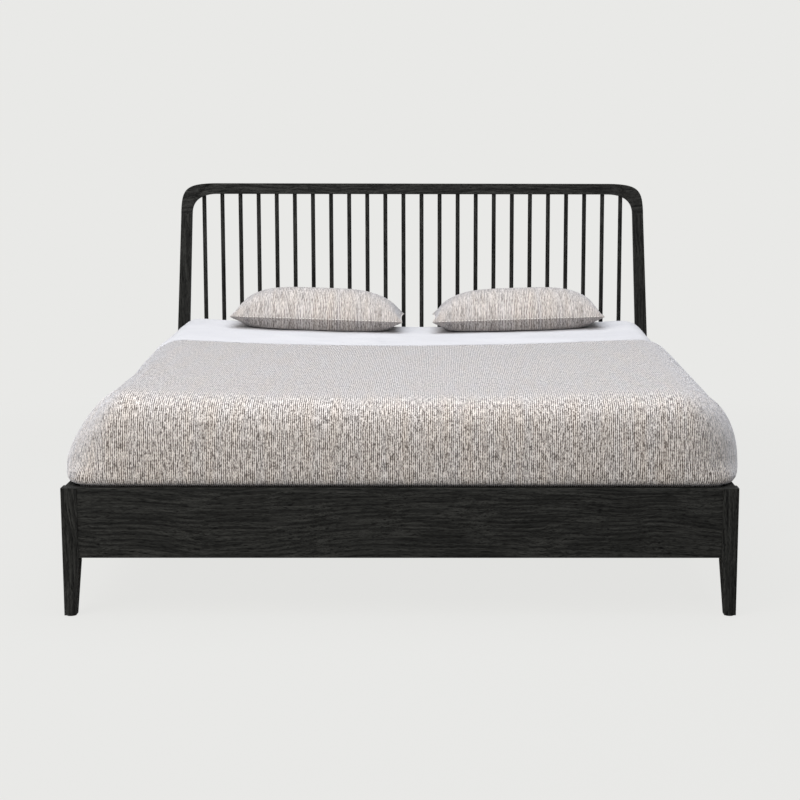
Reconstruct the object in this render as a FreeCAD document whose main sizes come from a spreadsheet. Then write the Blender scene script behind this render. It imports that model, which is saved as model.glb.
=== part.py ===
import FreeCAD, Part
import math
import os
import re
import Sketcher

# Spindle bed for a double mattress, dressed with its bedding. Millimetres.
# X runs across the bed, Y from the foot to the headboard and Z up.
# The origin is on the floor, at the centre of the footprint.

SIZES = {
    # Mattress, and the room that the frame leaves round it.
    "mattress_width": 1800,
    "mattress_length": 2000,
    "mattress_height": 260,
    "mattress_corner": 110,
    "mattress_edge": 80,
    "side_gap": 8,
    "foot_gap": 12,
    "head_gap": 15,
    # Rails: the boards on the four sides.
    "rail_bottom": 167,
    "rail_height": 198,
    "rail_thickness": 28,
    "side_inset": 4,
    "foot_setback": 3,
    "edge_radius": 2,
    # Legs, tapered on their two inner faces.
    "leg_width": 45,
    "foot_width": 33,
    "taper_room": 15,
    "leg_edge": 2.5,
    "glide_radius": 13,
    "glide_thickness": 3,
    # Headboard, measured along its lean above the rails.
    "lean": 1.11,
    "post_width": 46,
    "post_depth": 40,
    "post_top_width": 40,
    "post_draw_in": 32,
    "block_drop": 76.5,
    "headboard_rise": 783,
    "top_rail_height": 41.5,
    "top_rail_end": 15.55,
    "top_setback": 6,
    # Curves of the corner block, as shares of the way to the square corner.
    "outer_reach": 0.9,
    "outer_climb": 0.8,
    "inner_reach": 0.71,
    "inner_climb": 0.58,
    "border_start": 29,
    "border_bend": 76.6,
    "border_dip": 5.8,
    "crescent_width": 20,
    # Spindles and their sockets.
    "spindle_count": 24,
    "spindle_margin": 74.65,
    "spindle_radius": 8,
    "socket_gap": 0.1,
    "socket_low": 30,
    "socket_high": 20,
    "socket_end": 1,
    # Dowels in the glued joints.
    "fit_gap": 0.05,
    "dowel_radius": 6,
    "dowel_length": 60,
    "dowel_inset": 28,
    "corner_dowel_radius": 5,
    "corner_dowel_length": 50,
    "corner_dowel_spread": 9,
    "cap_dowel_radius": 4,
    "cap_dowel_length": 30,
    "cap_dowel_spread": 7,
    "cap_dowel_drop": 13,
    "dowel_end": 1,
    # Bed-rail hooks at the ends of the side rails.
    "plate_width": 20,
    "plate_height": 140,
    "plate_thickness": 3,
    "plate_rise": 29,
    "hook_first": 29,
    "hook_last": 22,
    "hook_thickness": 3,
    "hook_neck": 15,
    "hook_drop": 12,
    "hook_lip": 4,
    "hook_gap": 0.3,
    "hook_slot": 29,
    "hook_room": 4,
    "plate_screw_inset": 9,
    "screw_radius": 2,
    "screw_head": 4,
    "screw_sink": 2,
    "plate_screw_length": 18,
    # Slatted base.
    "ledger_rise": 120,
    "ledger_height": 30,
    "ledger_width": 25,
    "ledger_end": 12,
    "ledger_screw_count": 7,
    "ledger_screw_length": 35,
    "ledger_screw_end": 90,
    "screw_dome": 2.5,
    "dome_top": 2.4,
    "beam_width": 45,
    "beam_height": 60,
    "hanger_flange": 19.5,
    "hanger_height": 58,
    "hanger_steel": 3,
    "hanger_length": 35,
    "hanger_screw_side": 8,
    "hanger_screw_end": 11.6,
    "hanger_screw_length": 16,
    "hanger_gap": 0.3,
    "leg_bolt_radius": 4,
    "leg_bolt_length": 60,
    "slat_count": 14,
    "slat_width": 70,
    "slat_thickness": 18,
    "slat_margin": 20,
    "slat_middle": 3,
    "slat_end": 3,
    "tape_width": 25,
    "tape_thickness": 1,
    "tape_inner": 200,
    "tape_outer": 700,
    # Bedding.
    "soft_gap": 0.3,
    "sheet_thickness": 3,
    "sheet_hem": 5,
    "cover_length": 1307,
    "cover_top": 9.4,
    "cover_bulge": 27,
    "cover_bulge_foot": 24,
    "cover_bulge_rise": 85,
    "cover_shoulder": 135,
    "cover_top_corner": 15,
    "cover_tuck_corner": 60,
    "cover_drop": 27,
    "pillow_width": 660,
    "pillow_depth": 330,
    "pillow_rise": 106,
    "pillow_fall": 50,
    "pillow_draw": 13.5,
    "pillow_left_x": -356,
    "pillow_right_x": 403,
    "pillow_head_gap": 4,
}

DERIVED = {
    "rail_inner": "mattress_width / 2 + side_gap",
    "rail_outer": "rail_inner + rail_thickness",
    "rail_middle": "rail_inner + rail_thickness / 2",
    "rail_top": "rail_bottom + rail_height",
    "bed_half": "rail_outer + side_inset",
    "leg_inner": "bed_half - leg_width",
    "taper_top": "rail_bottom - taper_room",
    "bedding_reach": "foot_gap + mattress_length + head_gap",
    "head_reach": "foot_setback + rail_thickness + bedding_reach + rail_thickness / 2",
    "bed_length": "head_reach + post_depth / 2 * cos(lean) + headboard_rise * sin(lean)",
    "foot_front": "-bed_length / 2",
    "leg_back": "foot_front + leg_width",
    "foot_rail_inner": "foot_front + foot_setback + rail_thickness",
    "foot_rail_middle": "foot_rail_inner - rail_thickness / 2",
    "pivot": "foot_front + head_reach",
    "head_rail_inner": "pivot - rail_thickness / 2",
    "post_front": "pivot - post_depth / 2",
    "post_back": "pivot + post_depth / 2",
    "post_inner": "rail_outer - post_width",
    "post_top_outer": "rail_outer - post_draw_in",
    "post_top_inner": "post_top_outer - post_top_width",
    "post_top_middle": "post_top_outer - post_top_width / 2",
    "dowel_low": "rail_bottom + dowel_inset",
    "dowel_high": "rail_top - dowel_inset",
    "cap_under": "headboard_rise - top_rail_height",
    "block_rise": "cap_under - block_drop",
    "cap_half": "post_depth / 2 - top_setback",
    "spindle_top": "cap_under + socket_high - socket_end",
    "spindle_first": "spindle_margin - post_inner",
    "spindle_pitch": "-2 * spindle_first / (spindle_count - 1)",
    "top_rail_half": "top_rail_end - spindle_first - spindle_pitch",
    "plate_bottom": "rail_bottom + plate_rise",
    "plate_top": "plate_bottom + plate_height",
    "hook_pitch": "plate_height - hook_first - hook_slot - hook_last",
    "ledger_bottom": "rail_bottom + ledger_rise",
    "ledger_top": "ledger_bottom + ledger_height",
    "ledger_foot": "leg_back + ledger_end",
    "ledger_head": "post_front - ledger_end",
    "beam_bottom": "ledger_top - beam_height",
    "hanger_half": "beam_width / 2 + hanger_flange",
    "hanger_screw_x": "hanger_half - hanger_screw_side",
    "slat_top": "ledger_top + slat_thickness",
    "slat_step": "(head_rail_inner - foot_rail_inner - 2 * slat_margin - slat_width) / (slat_count - 1)",
    "mattress_foot": "foot_rail_inner + foot_gap",
    "mattress_head": "mattress_foot + mattress_length",
    "mattress_bottom": "slat_top + soft_gap",
    "mattress_top": "slat_top + mattress_height",
    "sheet_skin": "soft_gap + sheet_thickness",
    "sheet_top": "mattress_top + sheet_skin",
    "cover_bulge_height": "rail_top + cover_bulge_rise",
    "cover_corner": "cover_shoulder + cover_top_corner",
}

doc = FreeCAD.newDocument("SpindleBed")
sheet = doc.addObject("Spreadsheet::Sheet", "dims")
for row, (alias, number) in enumerate(SIZES.items(), 1):
    sheet.set("A%d" % row, alias)
    sheet.set("B%d" % row, str(number))
    sheet.setAlias("B%d" % row, alias)
doc.recompute()

# How full a pillow's crown is, and how near the seam its sides stop drawing in.
CROWN_REACH = 2.2
CROWN_FULLNESS = 0.8
DRAWN_SHARE = 0.225

ACROSS = FreeCAD.Vector(1, 0, 0)
ALONG = FreeCAD.Vector(0, 1, 0)
UP = FreeCAD.Vector(0, 0, 1)
NODES = []


def expand(formula):
    """A formula in which each size is read from the sheet and each derived name is written out."""
    def swap(match):
        name = match.group()
        if name in DERIVED:
            return "(" + expand(DERIVED[name]) + ")"
        if name in SIZES:
            return "dims." + name
        return name
    return re.sub("[a-z][a-z_]*", swap, str(formula))


def value(formula):
    """The number that a formula comes to."""
    return float(sheet.evalExpression(expand(formula)))


def bind(item, **formulas):
    """Ties properties of an object to formulas, with double underscores for dots."""
    for path, formula in formulas.items():
        item.setExpression(path.replace("__", "."), expand(formula))


def node(item, label):
    """Names a finished sub-part and puts it on the list that is written out."""
    item.Label = label
    NODES.append(item)
    return item


def mirrored(source, label):
    """The left-hand piece of a pair."""
    twin = doc.addObject("Part::Mirroring", label)
    twin.Source = source
    twin.Normal = ACROSS
    return node(twin, label)


def together(label, members):
    """Identical pieces that share one node, as separate solids."""
    group = doc.addObject("Part::Compound", label)
    group.Links = members
    return node(group, label)


def new_body(label):
    return node(doc.addObject("PartDesign::Body", label), label)


def origin_plane(body, role):
    return next(item for item in body.Origin.OriginFeatures if item.Role == role)


def sketch_on(body, role, **offset):
    """A sketch on one of a body's own origin planes, moved by bound offsets."""
    sketch = body.newObject("Sketcher::SketchObject", body.Name + "_sketch")
    sketch.AttachmentSupport = (origin_plane(body, role), [""])
    sketch.MapMode = "FlatFace"
    if "angle" in offset:
        sketch.AttachmentOffset = FreeCAD.Placement(FreeCAD.Vector(), FreeCAD.Rotation(-ACROSS, 1))
        bind(sketch, AttachmentOffset__Rotation__Angle=offset.pop("angle"))
    for axis, formula in offset.items():
        sketch.setExpression("AttachmentOffset.Base." + axis, expand(formula))
    return sketch


def pin(sketch, geometry, point, place):
    """Holds one point of a sketch at the formulas for its two coordinates."""
    for kind, formula in zip(("DistanceX", "DistanceY"), place):
        constraint = Sketcher.Constraint(kind, -1, 1, geometry, point, value(formula))
        index = sketch.addConstraint(constraint)
        sketch.setExpression("Constraints[%d]" % index, expand(formula))


def outline(sketch, runs):
    """A closed outline: each run is a line from its 1 place, or a curve from its 3, to the next run."""
    started = []
    for index, run in enumerate(runs):
        places = run + [runs[(index + 1) % len(runs)][0]]
        poles = [FreeCAD.Vector(value(across), value(up)) for across, up in places]
        if len(poles) == 2:
            geometry = sketch.addGeometry(Part.LineSegment(*poles), False)
            pin(sketch, geometry, 1, run[0])
        else:
            curve = Part.BSplineCurve()
            curve.buildFromPolesMultsKnots(poles, [4, 4], [0, 1], False, 3)
            geometry = sketch.addGeometry(curve, False)
            sketch.exposeInternalGeometry(geometry)
            for step, place in enumerate(run, 1):
                pin(sketch, geometry + step, 3, place)
        started.append(geometry)
    for here, after in zip(started, started[1:] + started[:1]):
        sketch.addConstraint(Sketcher.Constraint("Coincident", here, 2, after, 1))
    return sketch


def box_outline(sketch, left, low, right, high):
    return outline(sketch, [[(left, low)], [(right, low)], [(right, high)], [(left, high)]])


def round_box(sketch, left, low, right, high, radius):
    """The plan of a square post with eased corners."""
    east = (right, "%s - %s" % (right, radius))
    west = (left, "%s + %s" % (left, radius))
    north = (high, "%s - %s" % (high, radius))
    south = (low, "%s + %s" % (low, radius))
    corners = [(east[1], south[0], east[0], south[1], east[1], south[1], -90),
               (east[0], north[1], east[1], north[0], east[1], north[1], 0),
               (west[1], north[0], west[0], north[1], west[1], north[1], 90),
               (west[0], south[1], west[1], south[0], west[1], south[1], 180)]
    sides = []
    for index, corner in enumerate(corners):
        start = corner[2:4]
        finish = corners[(index + 1) % 4][0:2]
        ends = [FreeCAD.Vector(value(across), value(up)) for across, up in (start, finish)]
        sides.append(sketch.addGeometry(Part.LineSegment(*ends), False))
        pin(sketch, sides[-1], 1, start)
        pin(sketch, sides[-1], 2, finish)
    for index, corner in enumerate(corners):
        centre = FreeCAD.Vector(value(corner[4]), value(corner[5]))
        circle = Part.Circle(centre, UP, value(radius))
        turn = math.radians(corner[6])
        arc = sketch.addGeometry(Part.ArcOfCircle(circle, turn, turn + math.pi / 2), False)
        sketch.addConstraint(Sketcher.Constraint("Coincident", sides[index - 1], 2, arc, 1))
        sketch.addConstraint(Sketcher.Constraint("Coincident", arc, 2, sides[index], 1))
        limit = sketch.addConstraint(Sketcher.Constraint("Radius", arc, value(radius)))
        sketch.setExpression("Constraints[%d]" % limit, expand(radius))
    return sketch


def circles(sketch, radius, places):
    for place in places:
        centre = FreeCAD.Vector(value(place[0]), value(place[1]))
        geometry = sketch.addGeometry(Part.Circle(centre, UP, value(radius)), False)
        pin(sketch, geometry, 3, place)
        index = sketch.addConstraint(Sketcher.Constraint("Radius", geometry, value(radius)))
        sketch.setExpression("Constraints[%d]" % index, expand(radius))
    return sketch


def pad(body, sketch, length, back=False, middle=False):
    feature = body.newObject("PartDesign::Pad", body.Name + "_pad")
    feature.Profile = sketch
    feature.Reversed = back
    feature.Midplane = middle
    bind(feature, Length=length)
    doc.recompute()
    return feature


def pocket(body, sketch, depth, back=False):
    """Cuts a sketch into the body and checks that it took something away."""
    whole = body.Shape.Volume
    feature = body.newObject("PartDesign::Pocket", body.Name + "_pocket")
    feature.Profile = sketch
    feature.Reversed = back
    bind(feature, Length=depth)
    doc.recompute()
    if body.Shape.Volume > whole - 1:
        raise ValueError("a pocket of %s cuts nothing" % body.Label)
    return feature


def loft(body, kind, sections):
    feature = body.newObject("PartDesign::" + kind, body.Name + "_loft")
    feature.Profile = sections[0]
    feature.Sections = sections[1:]
    feature.Ruled = True
    doc.recompute()
    return feature


def row(body, feature, count, length, reverse=False):
    """Repeats a feature along X of its sketch."""
    pattern = body.newObject("PartDesign::LinearPattern", body.Name + "_row")
    pattern.Originals = [feature]
    pattern.Direction = (feature.Profile[0], ["H_Axis"])
    pattern.Reversed = reverse
    bind(pattern, Occurrences=count, Length=length)
    body.Tip = pattern
    doc.recompute()
    return pattern


def soften(body, direction, radius):
    """Rounds the long edges of a piece, those that run along one direction."""
    whole = body.Tip
    names = []
    for index, edge in enumerate(whole.Shape.Edges, 1):
        run = edge.valueAt(edge.LastParameter) - edge.valueAt(edge.FirstParameter)
        straight = edge.Length - run.Length < 0.001
        if straight and run.cross(direction).Length < 0.01 * run.Length:
            names.append("Edge%d" % index)
    feature = body.newObject("PartDesign::Fillet", body.Name + "_fillet")
    feature.Base = (whole, names)
    bind(feature, Radius=radius)
    doc.recompute()
    return feature


def box(name, size, place):
    """A plain board: its three sizes, and the place of its lowest corner."""
    item = doc.addObject("Part::Box", name)
    bind(item, Length=size[0], Width=size[1], Height=size[2])
    bind(item, Placement__Base__x=place[0], Placement__Base__y=place[1], Placement__Base__z=place[2])
    return item


def rod(name, radius, length, place, direction=UP):
    """A round rod: its radius and length, and the centre of its first end."""
    item = doc.addObject("Part::Cylinder", name)
    item.Placement = FreeCAD.Placement(FreeCAD.Vector(), FreeCAD.Rotation(UP, direction))
    bind(item, Radius=radius, Height=length)
    bind(item, Placement__Base__x=place[0], Placement__Base__y=place[1], Placement__Base__z=place[2])
    return item


def lean_back(body):
    """Stands a headboard piece in the headboard's own frame, which turns about the rail tops."""
    body.Placement = FreeCAD.Placement(FreeCAD.Vector(), FreeCAD.Rotation(-ACROSS, 1))
    bind(body, Placement__Base__y="pivot", Placement__Base__z="rail_top")
    bind(body, Placement__Rotation__Angle="lean")


def plate_holes(body, face, back):
    """Seats a steel plate flush in a face across the bed and drills for its two screws."""
    seat = box_outline(sketch_on(body, "XZ_Plane", z="-(%s)" % face),
                       "rail_middle - plate_width / 2 - fit_gap", "plate_bottom - fit_gap",
                       "rail_middle + plate_width / 2 + fit_gap", "plate_top + fit_gap")
    pocket(body, seat, "plate_thickness", back)
    drill = circles(sketch_on(body, "XZ_Plane", z="-(%s)" % face), "screw_radius + fit_gap",
                    [("rail_middle", "plate_bottom + plate_screw_inset"),
                     ("rail_middle", "plate_top - plate_screw_inset")])
    pocket(body, drill, "plate_screw_length + dowel_end", back)


def hook_rooms(body, face, back, depth, drop):
    """Cuts the two slots that the hooks drop into, opened downwards by a drop."""
    for step in range(2):
        low = "plate_bottom + hook_first + %d * hook_pitch" % step
        slot = box_outline(sketch_on(body, "XZ_Plane", z="-(%s)" % face),
                           "rail_middle - hook_thickness / 2 - hook_gap", "%s - (%s)" % (low, drop),
                           "rail_middle + hook_thickness / 2 + hook_gap", low + " + hook_slot")
        pocket(body, slot, depth, back)


def hook_caves(body, face, back):
    """Hollows a leg or a post behind its slotted plate, so that the hooks' lips can hang there."""
    hook_rooms(body, face, back, "plate_thickness + hook_gap + hook_lip + hook_room", "hook_drop + hook_gap")


def dowel_holes(body, face, middle, back):
    """Drills two dowel holes across the bed into the end of a rail or the side of a leg."""
    drill = circles(sketch_on(body, "YZ_Plane", z=face), "dowel_radius + fit_gap",
                    [(middle, "dowel_low"), (middle, "dowel_high")])
    pocket(body, drill, "dowel_length / 2 + dowel_end", back)


def front_leg():
    """Front leg: square above, with its two inner faces tapered down to the foot."""
    body = new_body("front_leg_right")
    foot = round_box(sketch_on(body, "XY_Plane", z="glide_thickness"),
                     "bed_half - foot_width", "foot_front", "bed_half", "foot_front + foot_width",
                     "leg_edge")
    knee = round_box(sketch_on(body, "XY_Plane", z="taper_top"),
                     "leg_inner", "foot_front", "bed_half", "leg_back", "leg_edge")
    top = round_box(sketch_on(body, "XY_Plane", z="rail_top"),
                    "leg_inner", "foot_front", "bed_half", "leg_back", "leg_edge")
    loft(body, "AdditiveLoft", [foot, knee, top])
    plate_holes(body, "leg_back", True)
    hook_caves(body, "leg_back", True)
    dowel_holes(body, "leg_inner", "foot_rail_middle", True)
    mirrored(body, "front_leg_left")


def head_post():
    """Head post: tapered foot, upright along the rails, then leaning back and drawing in to its block."""
    body = new_body("head_post_right")
    foot = round_box(sketch_on(body, "XY_Plane", z="glide_thickness"),
                     "rail_outer - foot_width", "post_back - foot_width", "rail_outer", "post_back",
                     "leg_edge")
    knee = round_box(sketch_on(body, "XY_Plane", z="taper_top"),
                     "post_inner", "post_front", "rail_outer", "post_back", "leg_edge")
    waist = round_box(sketch_on(body, "XY_Plane", y="pivot", z="rail_top", angle="lean / 2"),
                      "post_inner", "-post_depth / 2", "rail_outer", "post_depth / 2", "leg_edge")
    joint = {"y": "pivot + block_rise * sin(lean)",
             "z": "rail_top + block_rise * cos(lean)",
             "angle": "lean"}
    top = round_box(sketch_on(body, "XY_Plane", **joint),
                    "post_top_inner", "-post_depth / 2", "post_top_outer", "post_depth / 2", "leg_edge")
    loft(body, "AdditiveLoft", [foot, knee, waist, top])
    plate_holes(body, "post_front", False)
    hook_caves(body, "post_front", False)
    dowel_holes(body, "post_inner", "pivot", True)
    drill = circles(sketch_on(body, "XY_Plane", **joint), "corner_dowel_radius + fit_gap",
                    [("post_top_middle", "corner_dowel_spread"),
                     ("post_top_middle", "-corner_dowel_spread")])
    pocket(body, drill, "corner_dowel_length / 2 + dowel_end")
    mirrored(body, "head_post_left")


def corner_block():
    """Sculpted corner block: turns the post into the top rail, with a sloping crescent on each face."""
    body = new_body("corner_block_right")
    lean_back(body)
    start_under = ("top_rail_half", "cap_under")
    start_over = ("top_rail_half", "headboard_rise")
    end_outer = ("post_top_outer", "block_rise")
    end_inner = ("post_top_inner", "block_rise")
    climb = "outer_climb * (headboard_rise - block_rise)"
    over_curve = [start_over,
                  ("top_rail_half + outer_reach * (post_top_outer - top_rail_half)", "headboard_rise"),
                  ("post_top_outer - post_draw_in / block_rise * " + climb, "block_rise + " + climb)]
    under_curve = [end_inner,
                   ("post_top_inner", "block_rise + inner_climb * (cap_under - block_rise)"),
                   ("top_rail_half + inner_reach * (post_top_inner - top_rail_half)", "cap_under")]
    profile = outline(sketch_on(body, "XZ_Plane"), [[start_under], over_curve, [end_outer], under_curve])
    pad(body, profile, "post_depth", middle=True)
    sections = []
    for inward, setback in ((0, "0"), (1, "top_setback")):
        shift = " - %d * crescent_width" % inward
        border = [("post_top_inner" + shift, "block_rise"),
                  ("post_top_inner" + shift, "block_rise + (headboard_rise - block_rise) / 2"),
                  ("top_rail_half + border_bend" + shift, "headboard_rise - border_dip"),
                  ("top_rail_half + border_start" + shift, "headboard_rise")]
        left = "top_rail_half - 2 * crescent_width"
        low = "block_rise - crescent_width"
        high = "headboard_rise + crescent_width"
        runs = [border[:3], [border[3]], [(border[3][0], high)],
                [(left, high)], [(left, low)], [(border[0][0], low)]]
        sections.append(outline(sketch_on(body, "XZ_Plane", z="post_depth / 2 - " + setback), runs))
    crescent = loft(body, "SubtractiveLoft", sections)
    both = body.newObject("PartDesign::Mirrored", "corner_block_faces")
    both.Originals = [crescent]
    both.MirrorPlane = (origin_plane(body, "XZ_Plane"), [""])
    body.Tip = both
    doc.recompute()
    drill = circles(sketch_on(body, "XY_Plane", z="block_rise"), "corner_dowel_radius + fit_gap",
                    [("post_top_middle", "corner_dowel_spread"),
                     ("post_top_middle", "-corner_dowel_spread")])
    pocket(body, drill, "corner_dowel_length / 2 + dowel_end", True)
    drill = circles(sketch_on(body, "YZ_Plane", z="top_rail_half"), "cap_dowel_radius + fit_gap",
                    [("cap_dowel_spread", "headboard_rise - cap_dowel_drop"),
                     ("-cap_dowel_spread", "headboard_rise - cap_dowel_drop")])
    pocket(body, drill, "cap_dowel_length / 2 + dowel_end", True)
    socket = circles(sketch_on(body, "XY_Plane", z="block_rise"), "spindle_radius + socket_gap",
                     [("-spindle_first", "0")])
    pocket(body, socket, "spindle_top + socket_end - block_rise", True)
    mirrored(body, "corner_block_left")


def top_rail():
    """Top rail: the straight run between the corner blocks, set back from their faces."""
    body = new_body("top_rail")
    lean_back(body)
    section = box_outline(sketch_on(body, "YZ_Plane"),
                          "-cap_half", "cap_under", "cap_half", "headboard_rise")
    pad(body, section, "2 * top_rail_half", middle=True)
    soften(body, ACROSS, "edge_radius")
    socket = circles(sketch_on(body, "XY_Plane", z="cap_under"), "spindle_radius + socket_gap",
                     [("spindle_first + spindle_pitch", "0")])
    hole = pocket(body, socket, "socket_high", True)
    row(body, hole, "spindle_count - 2", "(spindle_count - 3) * spindle_pitch")
    for side, face in ((1, "top_rail_half"), (-1, "-top_rail_half")):
        drill = circles(sketch_on(body, "YZ_Plane", z=face), "cap_dowel_radius + fit_gap",
                        [("cap_dowel_spread", "headboard_rise - cap_dowel_drop"),
                         ("-cap_dowel_spread", "headboard_rise - cap_dowel_drop")])
        pocket(body, drill, "cap_dowel_length / 2 + dowel_end", side < 0)


def hanger_screw_places():
    """Where a beam hanger's four screws go, across and up its back plate."""
    return [("%d * hanger_screw_x" % side, "beam_bottom + " + height) for side in (-1, 1)
            for height in ("hanger_screw_end", "hanger_height - hanger_screw_end")]


def hanger_holes(body, face, back):
    """Drills a cross rail for the four screws of its beam hanger."""
    drill = circles(sketch_on(body, "XZ_Plane", z="-(%s)" % face), "screw_radius + fit_gap",
                    hanger_screw_places())
    pocket(body, drill, "hanger_screw_length - hanger_steel + dowel_end", back)


def headboard_rail():
    """Headboard rail: joins the head posts and holds the lower ends of the spindles."""
    body = new_body("headboard_rail")
    section = box_outline(sketch_on(body, "YZ_Plane"), "head_rail_inner", "rail_bottom",
                          "head_rail_inner + rail_thickness", "rail_top")
    pad(body, section, "2 * post_inner", middle=True)
    soften(body, ACROSS, "edge_radius")
    # Each socket starts a little above the rail, so that its leaning mouth is cut clean.
    rise = "socket_end"
    mouth = sketch_on(body, "XY_Plane", y="pivot + %s * sin(lean)" % rise,
                      z="rail_top + %s * cos(lean)" % rise, angle="lean")
    hole = pocket(body, circles(mouth, "spindle_radius + socket_gap", [("spindle_first", "0")]),
                  "socket_low + " + rise)
    row(body, hole, "spindle_count", "(spindle_count - 1) * spindle_pitch")
    for side, face in ((1, "post_inner"), (-1, "-post_inner")):
        dowel_holes(body, face, "pivot", side < 0)
    hanger_holes(body, "head_rail_inner", False)


def foot_rail():
    """Foot rail: a board between the front legs, set back from their faces."""
    body = new_body("foot_rail")
    section = box_outline(sketch_on(body, "YZ_Plane"), "foot_front + foot_setback", "rail_bottom",
                          "foot_rail_inner", "rail_top")
    pad(body, section, "2 * leg_inner", middle=True)
    soften(body, ACROSS, "edge_radius")
    for side, face in ((1, "leg_inner"), (-1, "-leg_inner")):
        dowel_holes(body, face, "foot_rail_middle", side < 0)
    hanger_holes(body, "foot_rail_inner", True)


def side_rail():
    """Side rail: a board with a hook plate let into each end and a ledger screwed inside."""
    body = new_body("side_rail_right")
    section = box_outline(sketch_on(body, "XZ_Plane", z="-leg_back"),
                          "rail_inner", "rail_bottom", "rail_outer", "rail_top")
    pad(body, section, "post_front - leg_back", back=True)
    soften(body, ALONG, "edge_radius")
    plate_holes(body, "leg_back", False)
    plate_holes(body, "post_front", True)
    drill = circles(sketch_on(body, "YZ_Plane", z="rail_inner"), "screw_radius + fit_gap",
                    [("ledger_foot + ledger_screw_end", "ledger_bottom + ledger_height / 2")])
    hole = pocket(body, drill, "ledger_screw_length - ledger_width + dowel_end", True)
    row(body, hole, "ledger_screw_count", "ledger_head - ledger_foot - 2 * ledger_screw_end")
    mirrored(body, "side_rail_left")


def ledger():
    """Ledger: the strip on the inside of a side rail that carries the slats."""
    body = new_body("ledger_right")
    section = box_outline(sketch_on(body, "XZ_Plane", z="-(ledger_foot)"),
                          "rail_inner - ledger_width", "ledger_bottom", "rail_inner", "ledger_top")
    pad(body, section, "ledger_head - ledger_foot", back=True)
    drill = circles(sketch_on(body, "YZ_Plane", z="rail_inner"), "screw_radius + fit_gap",
                    [("ledger_foot + ledger_screw_end", "ledger_bottom + ledger_height / 2")])
    hole = pocket(body, drill, "ledger_width")
    row(body, hole, "ledger_screw_count", "ledger_head - ledger_foot - 2 * ledger_screw_end")
    mirrored(body, "ledger_left")


def countersinks(body, face, away):
    """Opens the two screw holes of a plate for the screws' conical heads."""
    for low in ("plate_bottom + plate_screw_inset", "plate_top - plate_screw_inset"):
        cone = body.newObject("PartDesign::SubtractiveCone", body.Name + "_sink")
        cone.Placement = FreeCAD.Placement(FreeCAD.Vector(), FreeCAD.Rotation(UP, away))
        bind(cone, Radius1="screw_head + fit_gap", Radius2="screw_radius + fit_gap", Height="screw_sink")
        bind(cone, Placement__Base__x="rail_middle", Placement__Base__y=face, Placement__Base__z=low)
        doc.recompute()


def joint_plate(name, face, away):
    """A steel plate let into a rail end, a leg or a post, its outer face in the joint."""
    body = doc.addObject("PartDesign::Body", name)
    strip = box_outline(sketch_on(body, "XZ_Plane", z="-(%s)" % face),
                        "rail_middle - plate_width / 2", "plate_bottom",
                        "rail_middle + plate_width / 2", "plate_top")
    pad(body, strip, "plate_thickness", back=away.y > 0)
    drill = circles(sketch_on(body, "XZ_Plane", z="-(%s)" % face), "screw_radius + fit_gap",
                    [("rail_middle", "plate_bottom + plate_screw_inset"),
                     ("rail_middle", "plate_top - plate_screw_inset")])
    pocket(body, drill, "plate_thickness", back=away.y < 0)
    countersinks(body, face, away)
    return body


def rail_fittings():
    """Hook plates on the side rails, and the slotted plates on the legs and posts that hold them."""
    hook_plates = []
    slot_plates = []
    for end, face, outward in (("foot", "leg_back", 1), ("head", "post_front", -1)):
        body = joint_plate("hook_plate_" + end, face, ALONG * outward)
        neck = "%s - %d * (plate_thickness + hook_gap)" % (face, outward)
        tip = "%s - %d * hook_lip" % (neck, outward)
        for step in range(2):
            low = "plate_bottom + hook_first + %d * hook_pitch" % step
            high = low + " + hook_neck"
            hook = outline(sketch_on(body, "YZ_Plane", z="rail_middle"),
                           [[(face, low)], [(neck, low)], [(neck, low + " - hook_drop")],
                            [(tip, low + " - hook_drop")], [(tip, high)], [(face, high)]])
            pad(body, hook, "hook_thickness", middle=True)
        hook_plates.append(body)
        body = joint_plate("slot_plate_" + end, face, ALONG * -outward)
        hook_rooms(body, face, outward > 0, "plate_thickness", "0")
        slot_plates.append(body)
    for label, plates in (("hook_plates", hook_plates), ("slot_plates", slot_plates)):
        right = doc.addObject("Part::Compound", label + "_right")
        right.Links = plates
        left = doc.addObject("Part::Mirroring", label + "_left")
        left.Source = right
        left.Normal = ACROSS
        together(label, [right, left])


def screws(label, length, head_radius, head_height, sunk, seats):
    """A group of wood screws: each seat is the place of the head and the way the screw points."""
    shank = value("screw_radius")
    solids = []
    for place, way in seats:
        if sunk:
            head = Part.makeCone(head_radius, shank, head_height)
            stem = Part.makeCylinder(shank, length)
        else:
            head = Part.makeCone(value("dome_top"), head_radius, head_height, -UP * head_height)
            stem = Part.makeCylinder(shank, length + head_height / 2, -UP * head_height / 2)
        screw = head.fuse(stem).removeSplitter()
        screw.Placement = FreeCAD.Placement(FreeCAD.Vector(*place), FreeCAD.Rotation(UP, way))
        solids.append(screw)
    group = doc.addObject("Part::Feature", label)
    group.Shape = Part.makeCompound(solids)
    node(group, label)


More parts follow.
